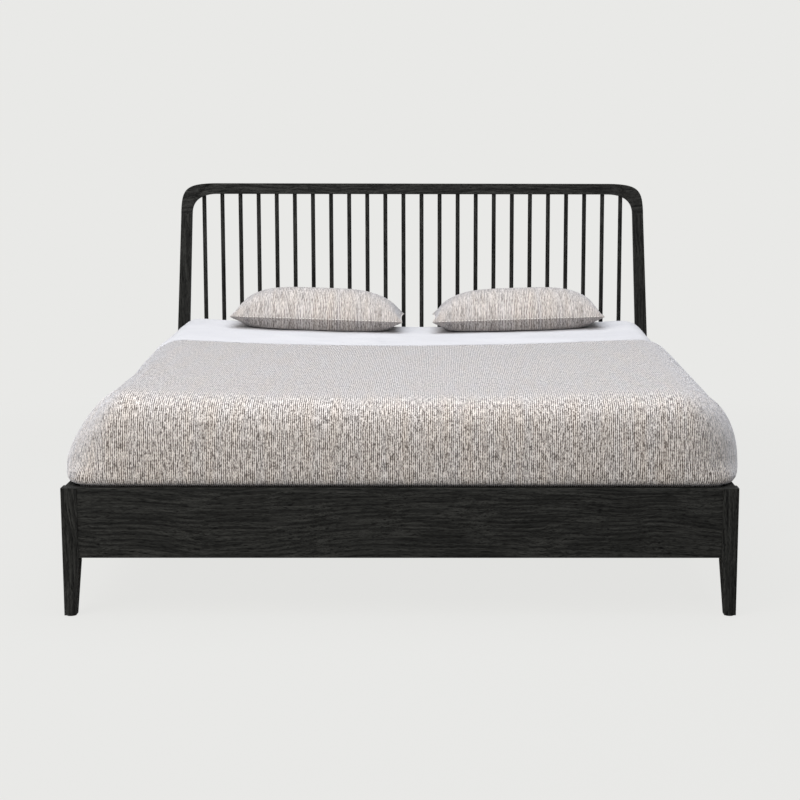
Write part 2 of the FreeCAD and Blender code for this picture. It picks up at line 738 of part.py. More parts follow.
def all_screws():
    """Screws of the joint plates, the ledgers and the beam hangers."""
    plate_seats = []
    ledger_seats = []
    hanger_seats = []
    first = value("ledger_foot + ledger_screw_end")
    step = value("(ledger_head - ledger_foot - 2 * ledger_screw_end) / (ledger_screw_count - 1)")
    for side in (-1, 1):
        for face in ("leg_back", "post_front"):
            for low in ("plate_bottom + plate_screw_inset", "plate_top - plate_screw_inset"):
                place = (side * value("rail_middle"), value(face), value(low))
                plate_seats += [(place, ALONG), (place, -ALONG)]
        for index in range(int(value("ledger_screw_count"))):
            place = (side * value("rail_inner - ledger_width"), first + index * step,
                     value("ledger_bottom + ledger_height / 2"))
            ledger_seats.append((place, ACROSS * side))
    for face, way in (("foot_rail_inner + hanger_steel", -ALONG),
                      ("head_rail_inner - hanger_steel", ALONG)):
        for across, height in hanger_screw_places():
            hanger_seats.append(((value(across), value(face), value(height)), way))
    sunk = (value("screw_head"), value("screw_sink"), True)
    screws("plate_screws", value("plate_screw_length"), *sunk, plate_seats)
    dome = (value("screw_head"), value("screw_dome"), False)
    screws("ledger_screws", value("ledger_screw_length"), *dome, ledger_seats)
    screws("hanger_screws", value("hanger_screw_length"), *dome, hanger_seats)


def dowels():
    """Dowels of the four rail joints and of the corner blocks."""
    rail_pins = []
    corner_pins = []
    for side in (-1, 1):
        for face, middle in (("leg_inner", "foot_rail_middle"), ("post_inner", "pivot")):
            for height in ("dowel_low", "dowel_high"):
                rail_pins.append(rod("rail_dowel", "dowel_radius", "dowel_length",
                                     ("%d * %s - dowel_length / 2" % (side, face), middle, height), ACROSS))
        for front in (-1, 1):
            pin_body = rod("post_dowel", "corner_dowel_radius", "corner_dowel_length",
                           ("%d * post_top_middle" % side,
                            "pivot + %d * corner_dowel_spread * cos(lean)"
                            " + (block_rise - corner_dowel_length / 2) * sin(lean)" % front,
                            "rail_top + (block_rise - corner_dowel_length / 2) * cos(lean)"
                            " - %d * corner_dowel_spread * sin(lean)" % front))
            pin_body.Placement = FreeCAD.Placement(FreeCAD.Vector(), FreeCAD.Rotation(-ACROSS, 1))
            bind(pin_body, Placement__Rotation__Angle="lean")
            corner_pins.append(pin_body)
            corner_pins.append(rod("cap_dowel", "cap_dowel_radius", "cap_dowel_length",
                                   ("%d * top_rail_half - cap_dowel_length / 2" % side,
                                    "pivot + %d * cap_dowel_spread * cos(lean)"
                                    " + (headboard_rise - cap_dowel_drop) * sin(lean)" % front,
                                    "rail_top + (headboard_rise - cap_dowel_drop) * cos(lean)"
                                    " - %d * cap_dowel_spread * sin(lean)" % front), ACROSS))
    together("rail_dowels", rail_pins)
    together("corner_dowels", corner_pins)


def spindles():
    """Round spindles, each standing on the bottom of its socket in the headboard rail."""
    for index in range(int(value("spindle_count"))):
        spindle = rod("spindle_%02d" % (index + 1), "spindle_radius", "spindle_top + socket_low",
                      ("spindle_first + %d * spindle_pitch" % index,
                       "pivot - socket_low * sin(lean)", "rail_top - socket_low * cos(lean)"))
        spindle.Placement = FreeCAD.Placement(FreeCAD.Vector(), FreeCAD.Rotation(-ACROSS, 1))
        bind(spindle, Placement__Rotation__Angle="lean")
        node(spindle, spindle.Name)


def middle_support():
    """Centre beam in its two hangers, and the leg bolted under the middle of it."""
    beam = new_body("center_beam")
    start = "foot_rail_inner + hanger_steel + hanger_gap"
    finish = "head_rail_inner - hanger_steel - hanger_gap"
    section = box_outline(sketch_on(beam, "XZ_Plane", z="-(%s)" % start),
                          "-beam_width / 2", "beam_bottom", "beam_width / 2", "ledger_top")
    pad(beam, section, "%s - (%s)" % (finish, start), back=True)
    bore = "leg_bolt_radius + fit_gap"
    drill = circles(sketch_on(beam, "XY_Plane", z="beam_bottom"), bore, [("0", "0")])
    pocket(beam, drill, "leg_bolt_length / 2 + dowel_end", True)

    leg = new_body("center_leg")
    foot = round_box(sketch_on(leg, "XY_Plane", z="glide_thickness"),
                     "-foot_width / 2", "-foot_width / 2", "foot_width / 2", "foot_width / 2", "leg_edge")
    top = round_box(sketch_on(leg, "XY_Plane", z="beam_bottom"),
                    "-leg_width / 2", "-leg_width / 2", "leg_width / 2", "leg_width / 2", "leg_edge")
    loft(leg, "AdditiveLoft", [foot, top])
    drill = circles(sketch_on(leg, "XY_Plane", z="beam_bottom"), bore, [("0", "0")])
    pocket(leg, drill, "leg_bolt_length / 2 + dowel_end")
    node(rod("center_leg_bolt", "leg_bolt_radius", "leg_bolt_length",
             ("0", "0", "beam_bottom - leg_bolt_length / 2")), "center_leg_bolt")

    hangers = []
    for face, way in (("foot_rail_inner", 1), ("head_rail_inner", -1)):
        hanger = doc.addObject("PartDesign::Body", "beam_hanger")
        low = "beam_bottom - hanger_steel"
        back_plate = box_outline(sketch_on(hanger, "XZ_Plane", z="-(%s)" % face),
                                 "-hanger_half", low, "hanger_half", low + " + hanger_height")
        pad(hanger, back_plate, "hanger_steel", back=way > 0)
        inner = "(beam_width / 2 + hanger_gap)"
        outer = "(%s + hanger_steel)" % inner
        high = low + " + hanger_height"
        trough = outline(sketch_on(hanger, "XZ_Plane", z="-(%s)" % face),
                         [[("-" + outer, low)], [(outer, low)], [(outer, high)], [(inner, high)],
                          [(inner, "beam_bottom")], [("-" + inner, "beam_bottom")],
                          [("-" + inner, high)], [("-" + outer, high)]])
        pad(hanger, trough, "hanger_length", back=way > 0)
        drill = circles(sketch_on(hanger, "XZ_Plane", z="-(%s)" % face), "screw_radius + fit_gap",
                        hanger_screw_places())
        pocket(hanger, drill, "hanger_steel", back=way < 0)
        hangers.append(hanger)
    together("beam_hangers", hangers)


def slats():
    """Two rows of slats, from the ledgers to the centre beam, held in step by tapes under them."""
    boards = []
    for index in range(int(value("slat_count"))):
        foot_edge = "foot_rail_inner + slat_margin + %d * slat_step" % index
        boards.append(box("slat", ("rail_inner - slat_end - slat_middle", "slat_width", "slat_thickness"),
                          ("slat_middle", foot_edge, "ledger_top")))
    mirrored(together("slats_right", boards), "slats_left")
    tapes = []
    for side in (-1, 1):
        for middle in ("tape_inner", "tape_outer"):
            tapes.append(box("slat_tape", ("tape_width", "slat_step * (slat_count - 1) + slat_width",
                                           "tape_thickness"),
                             ("%d * %s - tape_width / 2" % (side, middle), "foot_rail_inner + slat_margin",
                              "ledger_top - tape_thickness")))
    together("slat_tapes", tapes)


def glides():
    """Felt glides under the five legs."""
    feet = [("0", "0")]
    for side in (-1, 1):
        feet.append(("%d * (bed_half - foot_width / 2)" % side, "foot_front + foot_width / 2"))
        feet.append(("%d * (rail_outer - foot_width / 2)" % side, "post_back - foot_width / 2"))
    together("glides", [rod("glide", "glide_radius", "glide_thickness", place + ("0",)) for place in feet])


def padded_block(grow, low, high, foot, head):
    """A block that follows the mattress, grown by a skin, with rounded upright and top edges."""
    half = value("mattress_width") / 2 + grow
    block = Part.makeBox(2 * half, head - foot, high - low, FreeCAD.Vector(-half, foot, low))
    upright = [edge for edge in block.Edges if abs(edge.tangentAt(0).z) > 0.9]
    block = block.makeFillet(value("mattress_corner") + grow, upright)
    rim = [edge for edge in block.Edges if abs(edge.CenterOfMass.z - high) < 0.01]
    return block.makeFillet(value("mattress_edge") + grow, rim)


def soft(label, shape):
    feature = doc.addObject("Part::Feature", label)
    feature.Shape = shape
    return node(feature, label)


def mattress_and_sheet():
    """Mattress block, and the fitted sheet drawn over it as a thin shell."""
    foot = value("mattress_foot")
    head = value("mattress_head")
    core = padded_block(0, value("mattress_bottom"), value("mattress_top"), foot, head)
    low_rim = [edge for edge in core.Edges if abs(edge.CenterOfMass.z - value("mattress_bottom")) < 0.01]
    soft("mattress", core.makeFillet(value("mattress_edge"), low_rim))
    gap = value("soft_gap")
    skin = value("sheet_skin")
    hem = value("mattress_bottom + sheet_hem")
    outside = padded_block(skin, hem, value("mattress_top") + skin, foot - skin, head + skin)
    inside = padded_block(gap, hem - skin, value("mattress_top") + gap, foot - gap, head + gap)
    soft("fitted_sheet", outside.cut(inside))


def cover_section(height, half, foot, head, corner):
    """Plan of the coverlet at one height: square at the head end, round at the two foot corners."""
    bend = corner * (1 - 0.5 ** 0.5)
    head_left = FreeCAD.Vector(-half, head, height)
    side_left = FreeCAD.Vector(-half, foot + corner, height)
    foot_left = FreeCAD.Vector(-half + corner, foot, height)
    foot_right = FreeCAD.Vector(half - corner, foot, height)
    side_right = FreeCAD.Vector(half, foot + corner, height)
    head_right = FreeCAD.Vector(half, head, height)
    turn_left = Part.Arc(side_left, FreeCAD.Vector(-half + bend, foot + bend, height), foot_left)
    turn_right = Part.Arc(foot_right, FreeCAD.Vector(half - bend, foot + bend, height), side_right)
    left = [Part.makeLine(head_left, side_left), turn_left.toShape()]
    right = [turn_right.toShape(), Part.makeLine(side_right, head_right)]
    return Part.Wire(left + [Part.makeLine(foot_left, foot_right)] + right
                     + [Part.makeLine(head_right, head_left)])


def coverlet():
    """Coverlet: tucked inside the rails, swelling out over them, and rolling over onto the top."""
    tuck_half = value("rail_inner") - value("soft_gap")
    tuck_foot = value("foot_rail_inner") + value("soft_gap")
    rail_top = value("rail_top")
    bulge_height = value("cover_bulge_height")
    shoulder = value("cover_shoulder")
    head = value("mattress_foot + cover_length")
    top = value("sheet_top + cover_top")
    widest = tuck_half + value("cover_bulge")
    nearest = tuck_foot - value("cover_bulge_foot")
    tuck_corner = value("cover_tuck_corner")
    corner = value("cover_corner")
    sections = [cover_section(rail_top - value("cover_drop"), tuck_half, tuck_foot, head, tuck_corner),
                cover_section(rail_top + value("soft_gap"), tuck_half, tuck_foot, head, tuck_corner)]
    # Sections up to the widest place, and then round the shoulder onto the top.
    for share in (0.45, 0.8, 1.0):
        height = rail_top + (bulge_height - rail_top) * share
        swell = math.sin(share * math.pi / 2)
        sections.append(cover_section(height, tuck_half + (widest - tuck_half) * swell,
                                      tuck_foot + (nearest - tuck_foot) * swell, head,
                                      tuck_corner + (corner - tuck_corner) * swell))
    for degrees in (20, 40, 58, 74, 90):
        turn = math.radians(degrees)
        height = bulge_height + (top - bulge_height) * math.sin(turn)
        draw = shoulder * (1 - math.cos(turn))
        sections.append(cover_section(height, widest - draw, nearest + draw, head, corner - draw))
    outside = Part.makeLoft(sections, True, False)
    gap = value("soft_gap")
    grow = value("sheet_skin") + gap
    inside = padded_block(grow, rail_top - 2 * value("cover_drop"), value("mattress_top") + grow,
                          value("mattress_foot") - grow, head + 2 * value("mattress_corner") + grow)
    soft("coverlet", outside.cut(inside))


def pillow_section(height, width, depth, drawn):
    """Plan of a pillow at one height: four arcs, drawn in or bowed out between its corners."""
    corners = [FreeCAD.Vector(x * width / 2, y * depth / 2, height)
               for x, y in ((-1, -1), (1, -1), (1, 1), (-1, 1))]
    edges = []
    for index, start in enumerate(corners):
        finish = corners[(index + 1) % 4]
        middle = (start + finish) / 2
        inward = FreeCAD.Vector(-middle.x, -middle.y, 0).normalize() * drawn
        edges.append(Part.Arc(start, middle + inward, finish).toShape())
    return Part.Wire(edges)


def pillow(label, centre):
    """Pillow: crowned over a seam with pointed corners and drawn-in sides, and flat where it lies."""
    width = value("pillow_width")
    depth = value("pillow_depth")
    drawn = value("pillow_draw")
    # Shares of the plan and of the height: from the flat underside out to the seam, then to the crown.
    under = ((0.74, 1), (0.84, 0.7), (0.93, 0.35))
    over = [(share, (1 - share ** CROWN_REACH) ** CROWN_FULLNESS)
            for share in (1, 0.95, 0.88, 0.79, 0.67, 0.5, 0.3)]
    steps = [(share, -level * value("pillow_fall")) for share, level in under]
    steps += [(share, level * value("pillow_rise")) for share, level in over]
    sections = [pillow_section(height, width * share, depth * share,
                               drawn * (1 - (1 - share) / DRAWN_SHARE)) for share, height in steps]
    shape = Part.makeLoft(sections, True, True)
    lift = value("sheet_top + soft_gap + pillow_fall")
    back = value("post_front - pillow_head_gap - pillow_depth / 2")
    shape.translate(FreeCAD.Vector(value(centre), back, lift))
    soft(label, shape)


front_leg()
head_post()
corner_block()
top_rail()
headboard_rail()
foot_rail()
side_rail()
ledger()
rail_fittings()
all_screws()
dowels()
spindles()
middle_support()
slats()
glides()
mattress_and_sheet()
coverlet()
pillow("pillow_left", "pillow_left_x")
pillow("pillow_right", "pillow_right_x")
doc.recompute()

for item in doc.Objects:
    if "Invalid" in item.State or "Error" in item.State:
        raise ValueError("%s is %s" % (item.Label, item.State))
for item in NODES:
    if item.Shape.isNull() or not item.Shape.isValid():
        raise ValueError("%s has no valid shape" % item.Label)

os.makedirs("parts", exist_ok=True)
for item in NODES:
    item.Shape.exportStep("parts/%s.step" % item.Label)
    size = item.Shape.optimalBoundingBox(False)
    print("%-20s %2d solids" % (item.Label, len(item.Shape.Solids)),
          " x %8.1f %8.1f" % (size.XMin, size.XMax),
          " y %8.1f %8.1f" % (size.YMin, size.YMax),
          " z %7.1f %7.1f" % (size.ZMin, size.ZMax))
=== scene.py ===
import bisect
import math

import bmesh
import bpy
from mathutils import Matrix, Vector, noise
from mathutils.geometry import interpolate_bezier


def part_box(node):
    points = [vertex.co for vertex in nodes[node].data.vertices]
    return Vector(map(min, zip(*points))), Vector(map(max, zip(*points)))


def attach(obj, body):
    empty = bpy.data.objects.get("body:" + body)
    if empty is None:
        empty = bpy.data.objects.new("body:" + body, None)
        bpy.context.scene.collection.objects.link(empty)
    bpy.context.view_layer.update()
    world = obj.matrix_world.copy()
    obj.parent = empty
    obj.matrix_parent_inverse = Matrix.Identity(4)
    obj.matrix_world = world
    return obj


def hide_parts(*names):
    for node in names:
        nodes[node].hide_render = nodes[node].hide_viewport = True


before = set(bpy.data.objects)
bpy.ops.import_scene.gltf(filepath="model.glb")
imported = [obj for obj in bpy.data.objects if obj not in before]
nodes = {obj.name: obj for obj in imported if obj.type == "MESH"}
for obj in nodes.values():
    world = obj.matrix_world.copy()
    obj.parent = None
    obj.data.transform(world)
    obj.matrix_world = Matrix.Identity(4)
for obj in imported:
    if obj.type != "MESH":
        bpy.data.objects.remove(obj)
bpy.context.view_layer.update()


# ---------------------------------------------------------------- oak frame
# Posts, legs, rails, corner blocks and spindles are solid oak, wire-brushed so that the pores stand open,
# then stained black and oiled to a dull sheen. Each piece is cut with its grain along its length.


def shader_node(tree, kind, values=None, **settings):
    """A new node with its settings, each named socket holding a value or wired to another node's socket."""
    made = tree.nodes.new(kind)
    for name, setting in settings.items():
        setattr(made, name, setting)
    for socket, source in (values or {}).items():
        if isinstance(source, bpy.types.NodeSocket):
            tree.links.new(source, made.inputs[socket])
        else:
            made.inputs[socket].default_value = source
    return made


def between(tree, share, low, high):
    """The colour between two others by a share."""
    return shader_node(tree, "ShaderNodeMix", {0: share, 6: low, 7: high}, data_type="RGBA").outputs[2]


def spread(tree, source, from_low, from_high, to_low=0.0, to_high=1.0):
    """A value carried from one range to another and held inside it."""
    return shader_node(tree, "ShaderNodeMapRange", {
        0: source, 1: from_low, 2: from_high, 3: to_low, 4: to_high}).outputs[0]


def reckon(tree, operation, *sources):
    """The result of one sum on values or sockets."""
    return shader_node(tree, "ShaderNodeMath", dict(enumerate(sources)), operation=operation).outputs[0]


def stretched(tree, vector, scale):
    """A vector with each axis scaled by its own factor."""
    return shader_node(tree, "ShaderNodeMapping", {"Vector": vector, "Scale": scale}).outputs[0]


def drawn_noise(tree, vector, scale, detail, output="Fac", **more):
    """Noise drawn out by its own factor along each axis."""
    return shader_node(tree, "ShaderNodeTexNoise", {
        "Vector": stretched(tree, vector, scale), "Scale": 1.0, "Detail": detail, **more}).outputs[output]


def effect_group(name, inputs, outputs):
    """An empty node group with its named inputs and outputs, ready to be filled."""
    group = bpy.data.node_groups.new(name, "ShaderNodeTree")
    for socket, kind in inputs:
        group.interface.new_socket(socket, in_out="INPUT", socket_type=kind)
    for socket, kind in outputs:
        group.interface.new_socket(socket, in_out="OUTPUT", socket_type=kind)
    return group, group.nodes.new("NodeGroupInput"), group.nodes.new("NodeGroupOutput")


def give(group, put_out, **made):
    """Wires what a group has made to its outputs."""
    for socket, source in made.items():
        group.links.new(source, put_out.inputs[socket])


GRAIN = dict(from_pith=0.06, side_step=0.37, wander=(1.6, 3.0, 3.0), wander_by=(0.0, 0.10, 0.10), rings=34.0,
             early_wood=0.07, streaks=(4.5, 150.0, 150.0), fine=(70.0, 1500.0, 1500.0), fine_open=(0.56, 0.66),
             fine_share=0.7, coarse=(34.0, 620.0, 620.0), coarse_open=(0.57, 0.68))


def open_grain_group():
    """Oak grain along X: growth rings that wander, streaks, and short open pores, most of them in early wood."""
    group, given, put_out = effect_group(
        "open_grain", [("Vector", "NodeSocketVector")],
        [("Rings", "NodeSocketFloat"), ("Streaks", "NodeSocketFloat"), ("Pores", "NodeSocketFloat")])
    place = given.outputs["Vector"]
    wander = drawn_noise(group, place, GRAIN["wander"], 2.0, "Color")
    bent = shader_node(group, "ShaderNodeVectorMath", {0: wander, 1: GRAIN["wander_by"], 2: place},
                       operation="MULTIPLY_ADD").outputs[0]
    rings = shader_node(group, "ShaderNodeTexWave", {
        "Vector": bent, "Scale": GRAIN["rings"], "Distortion": 2.4, "Detail": 3.0, "Detail Scale": 2.0},
        wave_type="RINGS", rings_direction="X", wave_profile="SAW").outputs["Fac"]
    early_wood = spread(group, rings, 0.0, 1.0, GRAIN["early_wood"], 0.0)
    fine, coarse = (
        spread(group, reckon(group, "ADD", drawn_noise(group, bent, GRAIN[size], detail), early_wood),
               *GRAIN[size + "_open"]) for size, detail in (("fine", 2.0), ("coarse", 3.0)))
    give(group, put_out, Rings=rings, Streaks=drawn_noise(group, bent, GRAIN["streaks"], 4.0),
         Pores=reckon(group, "MAXIMUM", reckon(group, "MULTIPLY", fine, GRAIN["fine_share"]), coarse))
    return group


# The black oak's edges are lightened in patches towards a paler tone: a painted edge sheen.
PAINTED_EDGE_SHEEN = dict(reach=0.0025, flat_to_edge=(0.995, 0.90), patches=22.0, patchy=(0.38, 0.62), share=0.45)


def painted_edge_sheen_group():
    """How near a place is to an edge, from 0 on a flat face to 1 on an edge, in patches: the mask of the oak's
    painted edge sheen.
    """
    group, given, put_out = effect_group(
        "painted_edge_sheen", [("Reach", "NodeSocketFloat"), ("Vector", "NodeSocketVector")],
        [("Wear", "NodeSocketFloat")])
    rounded = shader_node(group, "ShaderNodeBevel", {"Radius": given.outputs["Reach"]}, samples=4)
    straight = shader_node(group, "ShaderNodeNewGeometry")
    turned = shader_node(group, "ShaderNodeVectorMath", {
        0: rounded.outputs[0], 1: straight.outputs["Normal"]}, operation="DOT_PRODUCT")
    patchy = shader_node(group, "ShaderNodeTexNoise", {
        "Vector": given.outputs["Vector"], "Scale": PAINTED_EDGE_SHEEN["patches"], "Detail": 3.0})
    edge = spread(group, turned.outputs["Value"], *PAINTED_EDGE_SHEEN["flat_to_edge"])
    give(group, put_out,
         Wear=reckon(group, "MULTIPLY", edge, spread(group, patchy.outputs["Fac"], *PAINTED_EDGE_SHEEN["patchy"])))
    return group


open_grain = open_grain_group()
painted_edge_sheen = painted_edge_sheen_group()


def new_material(name):
    """An empty material, its tree and the socket of its place on the piece."""
    material = bpy.data.materials.new(name)
    material.use_nodes = True
    tree = material.node_tree
    tree.nodes.clear()
    return material, tree, shader_node(tree, "ShaderNodeTexCoord").outputs["Object"]


def fill_group(tree, group, values):
    """A node of one effect group with its inputs set."""
    return shader_node(tree, "ShaderNodeGroup", values, node_tree=group)


def along_grain(tree, place, grain, shift=0.0):
    """The place turned so that X runs along the grain, and shifted to the piece's own part of the log."""
    split = shader_node(tree, "ShaderNodeSeparateXYZ", {0: place}).outputs
    order = {"X": (0, 1, 2), "Y": (1, 0, 2), "Z": (2, 0, 1)}[grain]
    turned = shader_node(tree, "ShaderNodeCombineXYZ", {i: split[axis] for i, axis in enumerate(order)})
    in_log = (shift, shift * GRAIN["side_step"], GRAIN["from_pith"])
    return shader_node(tree, "ShaderNodeVectorMath", {0: turned.outputs[0], 1: in_log}, operation="ADD").outputs[0]


def surface(material, tree, base, roughness, bump_height=None, bump_depth=0.0005, bump_strength=1.0, **plain):
    """The Principled surface of a material, with a bump in metres and the sockets that are plain numbers."""
    shader = shader_node(tree, "ShaderNodeBsdfPrincipled", {"Base Color": base, "Roughness": roughness})
    for socket, value in plain.items():
        shader.inputs[socket.replace("_", " ")].default_value = value
    if bump_height is not None:
        bump = shader_node(tree, "ShaderNodeBump", {
            "Height": bump_height, "Distance": bump_depth, "Strength": bump_strength})
        tree.links.new(bump.outputs[0], shader.inputs["Normal"])
    shader_node(tree, "ShaderNodeOutputMaterial", {"Surface": shader.outputs[0]})
    return material


BLACK_OAK = dict(rings=((0.0080, 0.0080, 0.0072, 1), (0.0200, 0.0200, 0.0182, 1)), streak=(0.0410, 0.0410, 0.0375, 1),
                 streaked=(0.42, 0.64), edge_sheen_tone=(0.038, 0.036, 0.032, 1), pore=(0.0015, 0.0015, 0.0013, 1),
                 dull=(0.50, 0.85), ring_relief=0.25, relief=0.00035)


def black_oak(name, grain, shift):
    """Brushed oak, stained black, with its grain along one axis and a painted sheen along its edges."""
    material, tree, place = new_material(name)
    wood = fill_group(tree, open_grain, {"Vector": along_grain(tree, place, grain, shift)}).outputs
    edge_sheen = fill_group(tree, painted_edge_sheen, {"Reach": PAINTED_EDGE_SHEEN["reach"], "Vector": place}).outputs["Wear"]
    bands = between(tree, wood["Rings"], *BLACK_OAK["rings"])
    streaked = between(tree, spread(tree, wood["Streaks"], *BLACK_OAK["streaked"]), bands, BLACK_OAK["streak"])
    # Painted edge sheen: near the edges the colour goes towards a paler tone.
    edge_sheen_tone = between(tree, reckon(tree, "MULTIPLY", edge_sheen, PAINTED_EDGE_SHEEN["share"]), streaked, BLACK_OAK["edge_sheen_tone"])
    stained = between(tree, wood["Pores"], edge_sheen_tone, BLACK_OAK["pore"])
    gloss = spread(tree, wood["Pores"], 0.0, 1.0, *BLACK_OAK["dull"])
    ring_relief = reckon(tree, "MULTIPLY", wood["Rings"], BLACK_OAK["ring_relief"])
    relief = reckon(tree, "SUBTRACT", ring_relief, wood["Pores"])
    return surface(material, tree, stained, gloss, relief, BLACK_OAK["relief"], 0.8, Specular_IOR_Level=0.14)


oak_lengthwise = black_oak("black_oak_upright", "Z", shift=0.3)
oak_across = black_oak("black_oak_across", "X", shift=1.7)
oak_along_bed = black_oak("black_oak_side", "Y", shift=0.9)


def finish_nodes(material, *names):
    """Gives CAD nodes their finish."""
    for name in names:
        nodes[name].data.materials.clear()
        nodes[name].data.materials.append(material)


spindle_names = sorted(name for name in nodes if name.startswith("spindle_"))
finish_nodes(oak_lengthwise, "front_leg_left", "front_leg_right", "head_post_left", "head_post_right",
             "center_leg", *spindle_names)
finish_nodes(oak_across, "foot_rail", "headboard_rail", "top_rail", "corner_block_left", "corner_block_right")
finish_nodes(oak_along_bed, "side_rail_left", "side_rail_right")


# ---------------------------------------------------------------- mattress support
# A softwood beam on hangers and a centre leg halves the span. Ledger strips screwed inside the side rails
# carry two rows of sprung birch slats, which cotton webbing holds in step.


def plain_timber(name, grain, pale, dark, ring_share, roughness):
    """Sawn or planed timber in its own colour, with its grain along one axis."""
    material, tree, place = new_material(name)
    wood = fill_group(tree, open_grain, {"Vector": along_grain(tree, place, grain)}).outputs
    bands = between(tree, reckon(tree, "MULTIPLY", wood["Rings"], ring_share), pale, dark)
    streaked = between(tree, spread(tree, wood["Streaks"], 0.40, 0.75, 0.0, 0.45), bands, dark)
    fibres = between(tree, reckon(tree, "MULTIPLY", wood["Pores"], 0.30), streaked, dark)
    return surface(material, tree, fibres, roughness, wood["Streaks"], 0.0002, 0.5, Specular_IOR_Level=0.4)


pine = plain_timber("planed_pine", "Y", pale=(0.66, 0.47, 0.26, 1), dark=(0.40, 0.23, 0.10, 1),
                    ring_share=0.7, roughness=0.55)
birch = plain_timber("birch_slat", "X", pale=(0.71, 0.58, 0.41, 1), dark=(0.52, 0.38, 0.23, 1),
                     ring_share=0.5, roughness=0.45)
beech = plain_timber("beech_dowel", "Z", pale=(0.62, 0.44, 0.29, 1), dark=(0.44, 0.28, 0.16, 1),
                     ring_share=0.4, roughness=0.5)
finish_nodes(pine, "center_beam", "ledger_left", "ledger_right")
finish_nodes(birch, "slats_left", "slats_right")
finish_nodes(beech, "rail_dowels", "corner_dowels")


def woven_group():
    """A plain weave in a surface's own two directions: thread tops are high, the gaps between are low."""
    group, given, put_out = effect_group(
        "plain_weave", [("Vector", "NodeSocketVector"), ("Threads", "NodeSocketFloat")],
        [("Height", "NodeSocketFloat")])
    scaled = shader_node(group, "ShaderNodeVectorMath", {
        0: given.outputs["Vector"], "Scale": given.outputs["Threads"]}, operation="SCALE")
    split = shader_node(group, "ShaderNodeSeparateXYZ", {0: scaled.outputs[0]}).outputs
    warp, weft = (reckon(group, "SINE", reckon(group, "MULTIPLY", split[axis], math.tau)) for axis in (0, 1))
    give(group, put_out, Height=spread(group, reckon(group, "MULTIPLY", warp, weft), -1.0, 1.0))
    return group


plain_weave = woven_group()


def webbing():
    """Unbleached cotton webbing with a coarse weave."""
    material, tree, place = new_material("cotton_webbing")
    weave = fill_group(tree, plain_weave, {"Vector": place, "Threads": 420.0}).outputs["Height"]
    base = between(tree, weave, (0.42, 0.38, 0.30, 1), (0.72, 0.68, 0.58, 1))
    return surface(material, tree, base, 0.9, weave, 0.0006, 0.8, Sheen_Weight=0.2)


finish_nodes(webbing(), "slat_tapes")


# ---------------------------------------------------------------- steel fittings
# Hooked rail plates, the plates that they hang in, beam hangers, screws and the centre leg's bolt
# are pressed or turned mild steel, zinc plated. The plates are let into the rails and posts.


def zinc_steel():
    """Zinc plate: a pale blue-grey spangle with handling marks."""
    material, tree, place = new_material("zinc_plated_steel")
    spangle = shader_node(tree, "ShaderNodeTexVoronoi", {"Vector": place, "Scale": 260.0})
    marks = drawn_noise(tree, place, (40.0, 40.0, 300.0), 5.0)
    base = between(tree, spangle.outputs["Color"], (0.48, 0.50, 0.53, 1), (0.62, 0.63, 0.64, 1))
    dulled = between(tree, spread(tree, marks, 0.45, 0.75), base, (0.36, 0.37, 0.38, 1))
    gloss = spread(tree, marks, 0.3, 0.7, 0.30, 0.52)
    return surface(material, tree, dulled, gloss, marks, 0.0001, 0.4, Metallic=1.0)


finish_nodes(zinc_steel(), "hook_plates", "slot_plates", "beam_hangers", "plate_screws", "ledger_screws",
             "hanger_screws", "center_leg_bolt")


# ---------------------------------------------------------------- glides
# Each leg stands on a stick-on disc of pressed wool felt, three millimetres thick.


def wool_felt():
    """Grey felt with loose fibres."""
    material, tree, place = new_material("wool_felt")
    fibres = shader_node(tree, "ShaderNodeTexNoise", {"Vector": place, "Scale": 900.0, "Detail": 6.0,
                                                      "Distortion": 3.0}).outputs["Fac"]
    base = between(tree, fibres, (0.05, 0.05, 0.05, 1), (0.16, 0.155, 0.15, 1))
    return surface(material, tree, base, 0.95, fibres, 0.0006, 1.0, Sheen_Weight=0.4)


finish_nodes(wool_felt(), "glides")


# ---------------------------------------------------------------- mattress
# A foam mattress in a ticking cover, lying on the slats inside the rails. Its middle has settled, so its left
# and right sides stand higher, most of all towards the head, and the bedding over it follows.
SETTLED = dict(level=0.5983, hem=(0.028, 0.018), head=(0.040, 0.031), head_room=0.10)
half_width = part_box("fitted_sheet")[1].x
foot_end, head_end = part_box("fitted_sheet")[0].y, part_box("fitted_sheet")[1].y
hem_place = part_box("coverlet")[1].y
side_top = 0.416


def ease(share):
    """A smooth step from 0 to 1."""
    share = min(max(share, 0.0), 1.0)
    return share * share * (3 - 2 * share)


def made_height(x, y):
    """How high the sheet stands at a place."""
    at_hem, at_head = SETTLED["hem"][x > 0], SETTLED["head"][x > 0]
    lift = at_hem + (at_head - at_hem) * ease((y - hem_place) / (head_end - SETTLED["head_room"] - hem_place))
    return SETTLED["level"] + lift * min(abs(x) / half_width, 1.0) ** 2


def settled(place, level, below=0.0):
    """A place of a level made-up bed moved to where the settled one has it, with what is under side_top left."""
    share = max(place.z - side_top, 0.0) / (level - side_top)
    top = made_height(place.x, place.y) - below
    return Vector((place.x, place.y, place.z + share * (top - level)))


def link_piece(name, bm, material, smooth=True):
    """Makes a bmesh a piece with its material."""
    mesh = bpy.data.meshes.new(name)
    for face in bm.faces:
        face.smooth = smooth
    bm.to_mesh(mesh)
    bm.free()
    mesh.materials.append(material)
    piece = bpy.data.objects.new(name, mesh)
    bpy.context.scene.collection.objects.link(piece)
    return piece


MATTRESS = dict(corner=0.110, edge=0.080, cells=44, sheet_room=0.006, stripe=0.03)


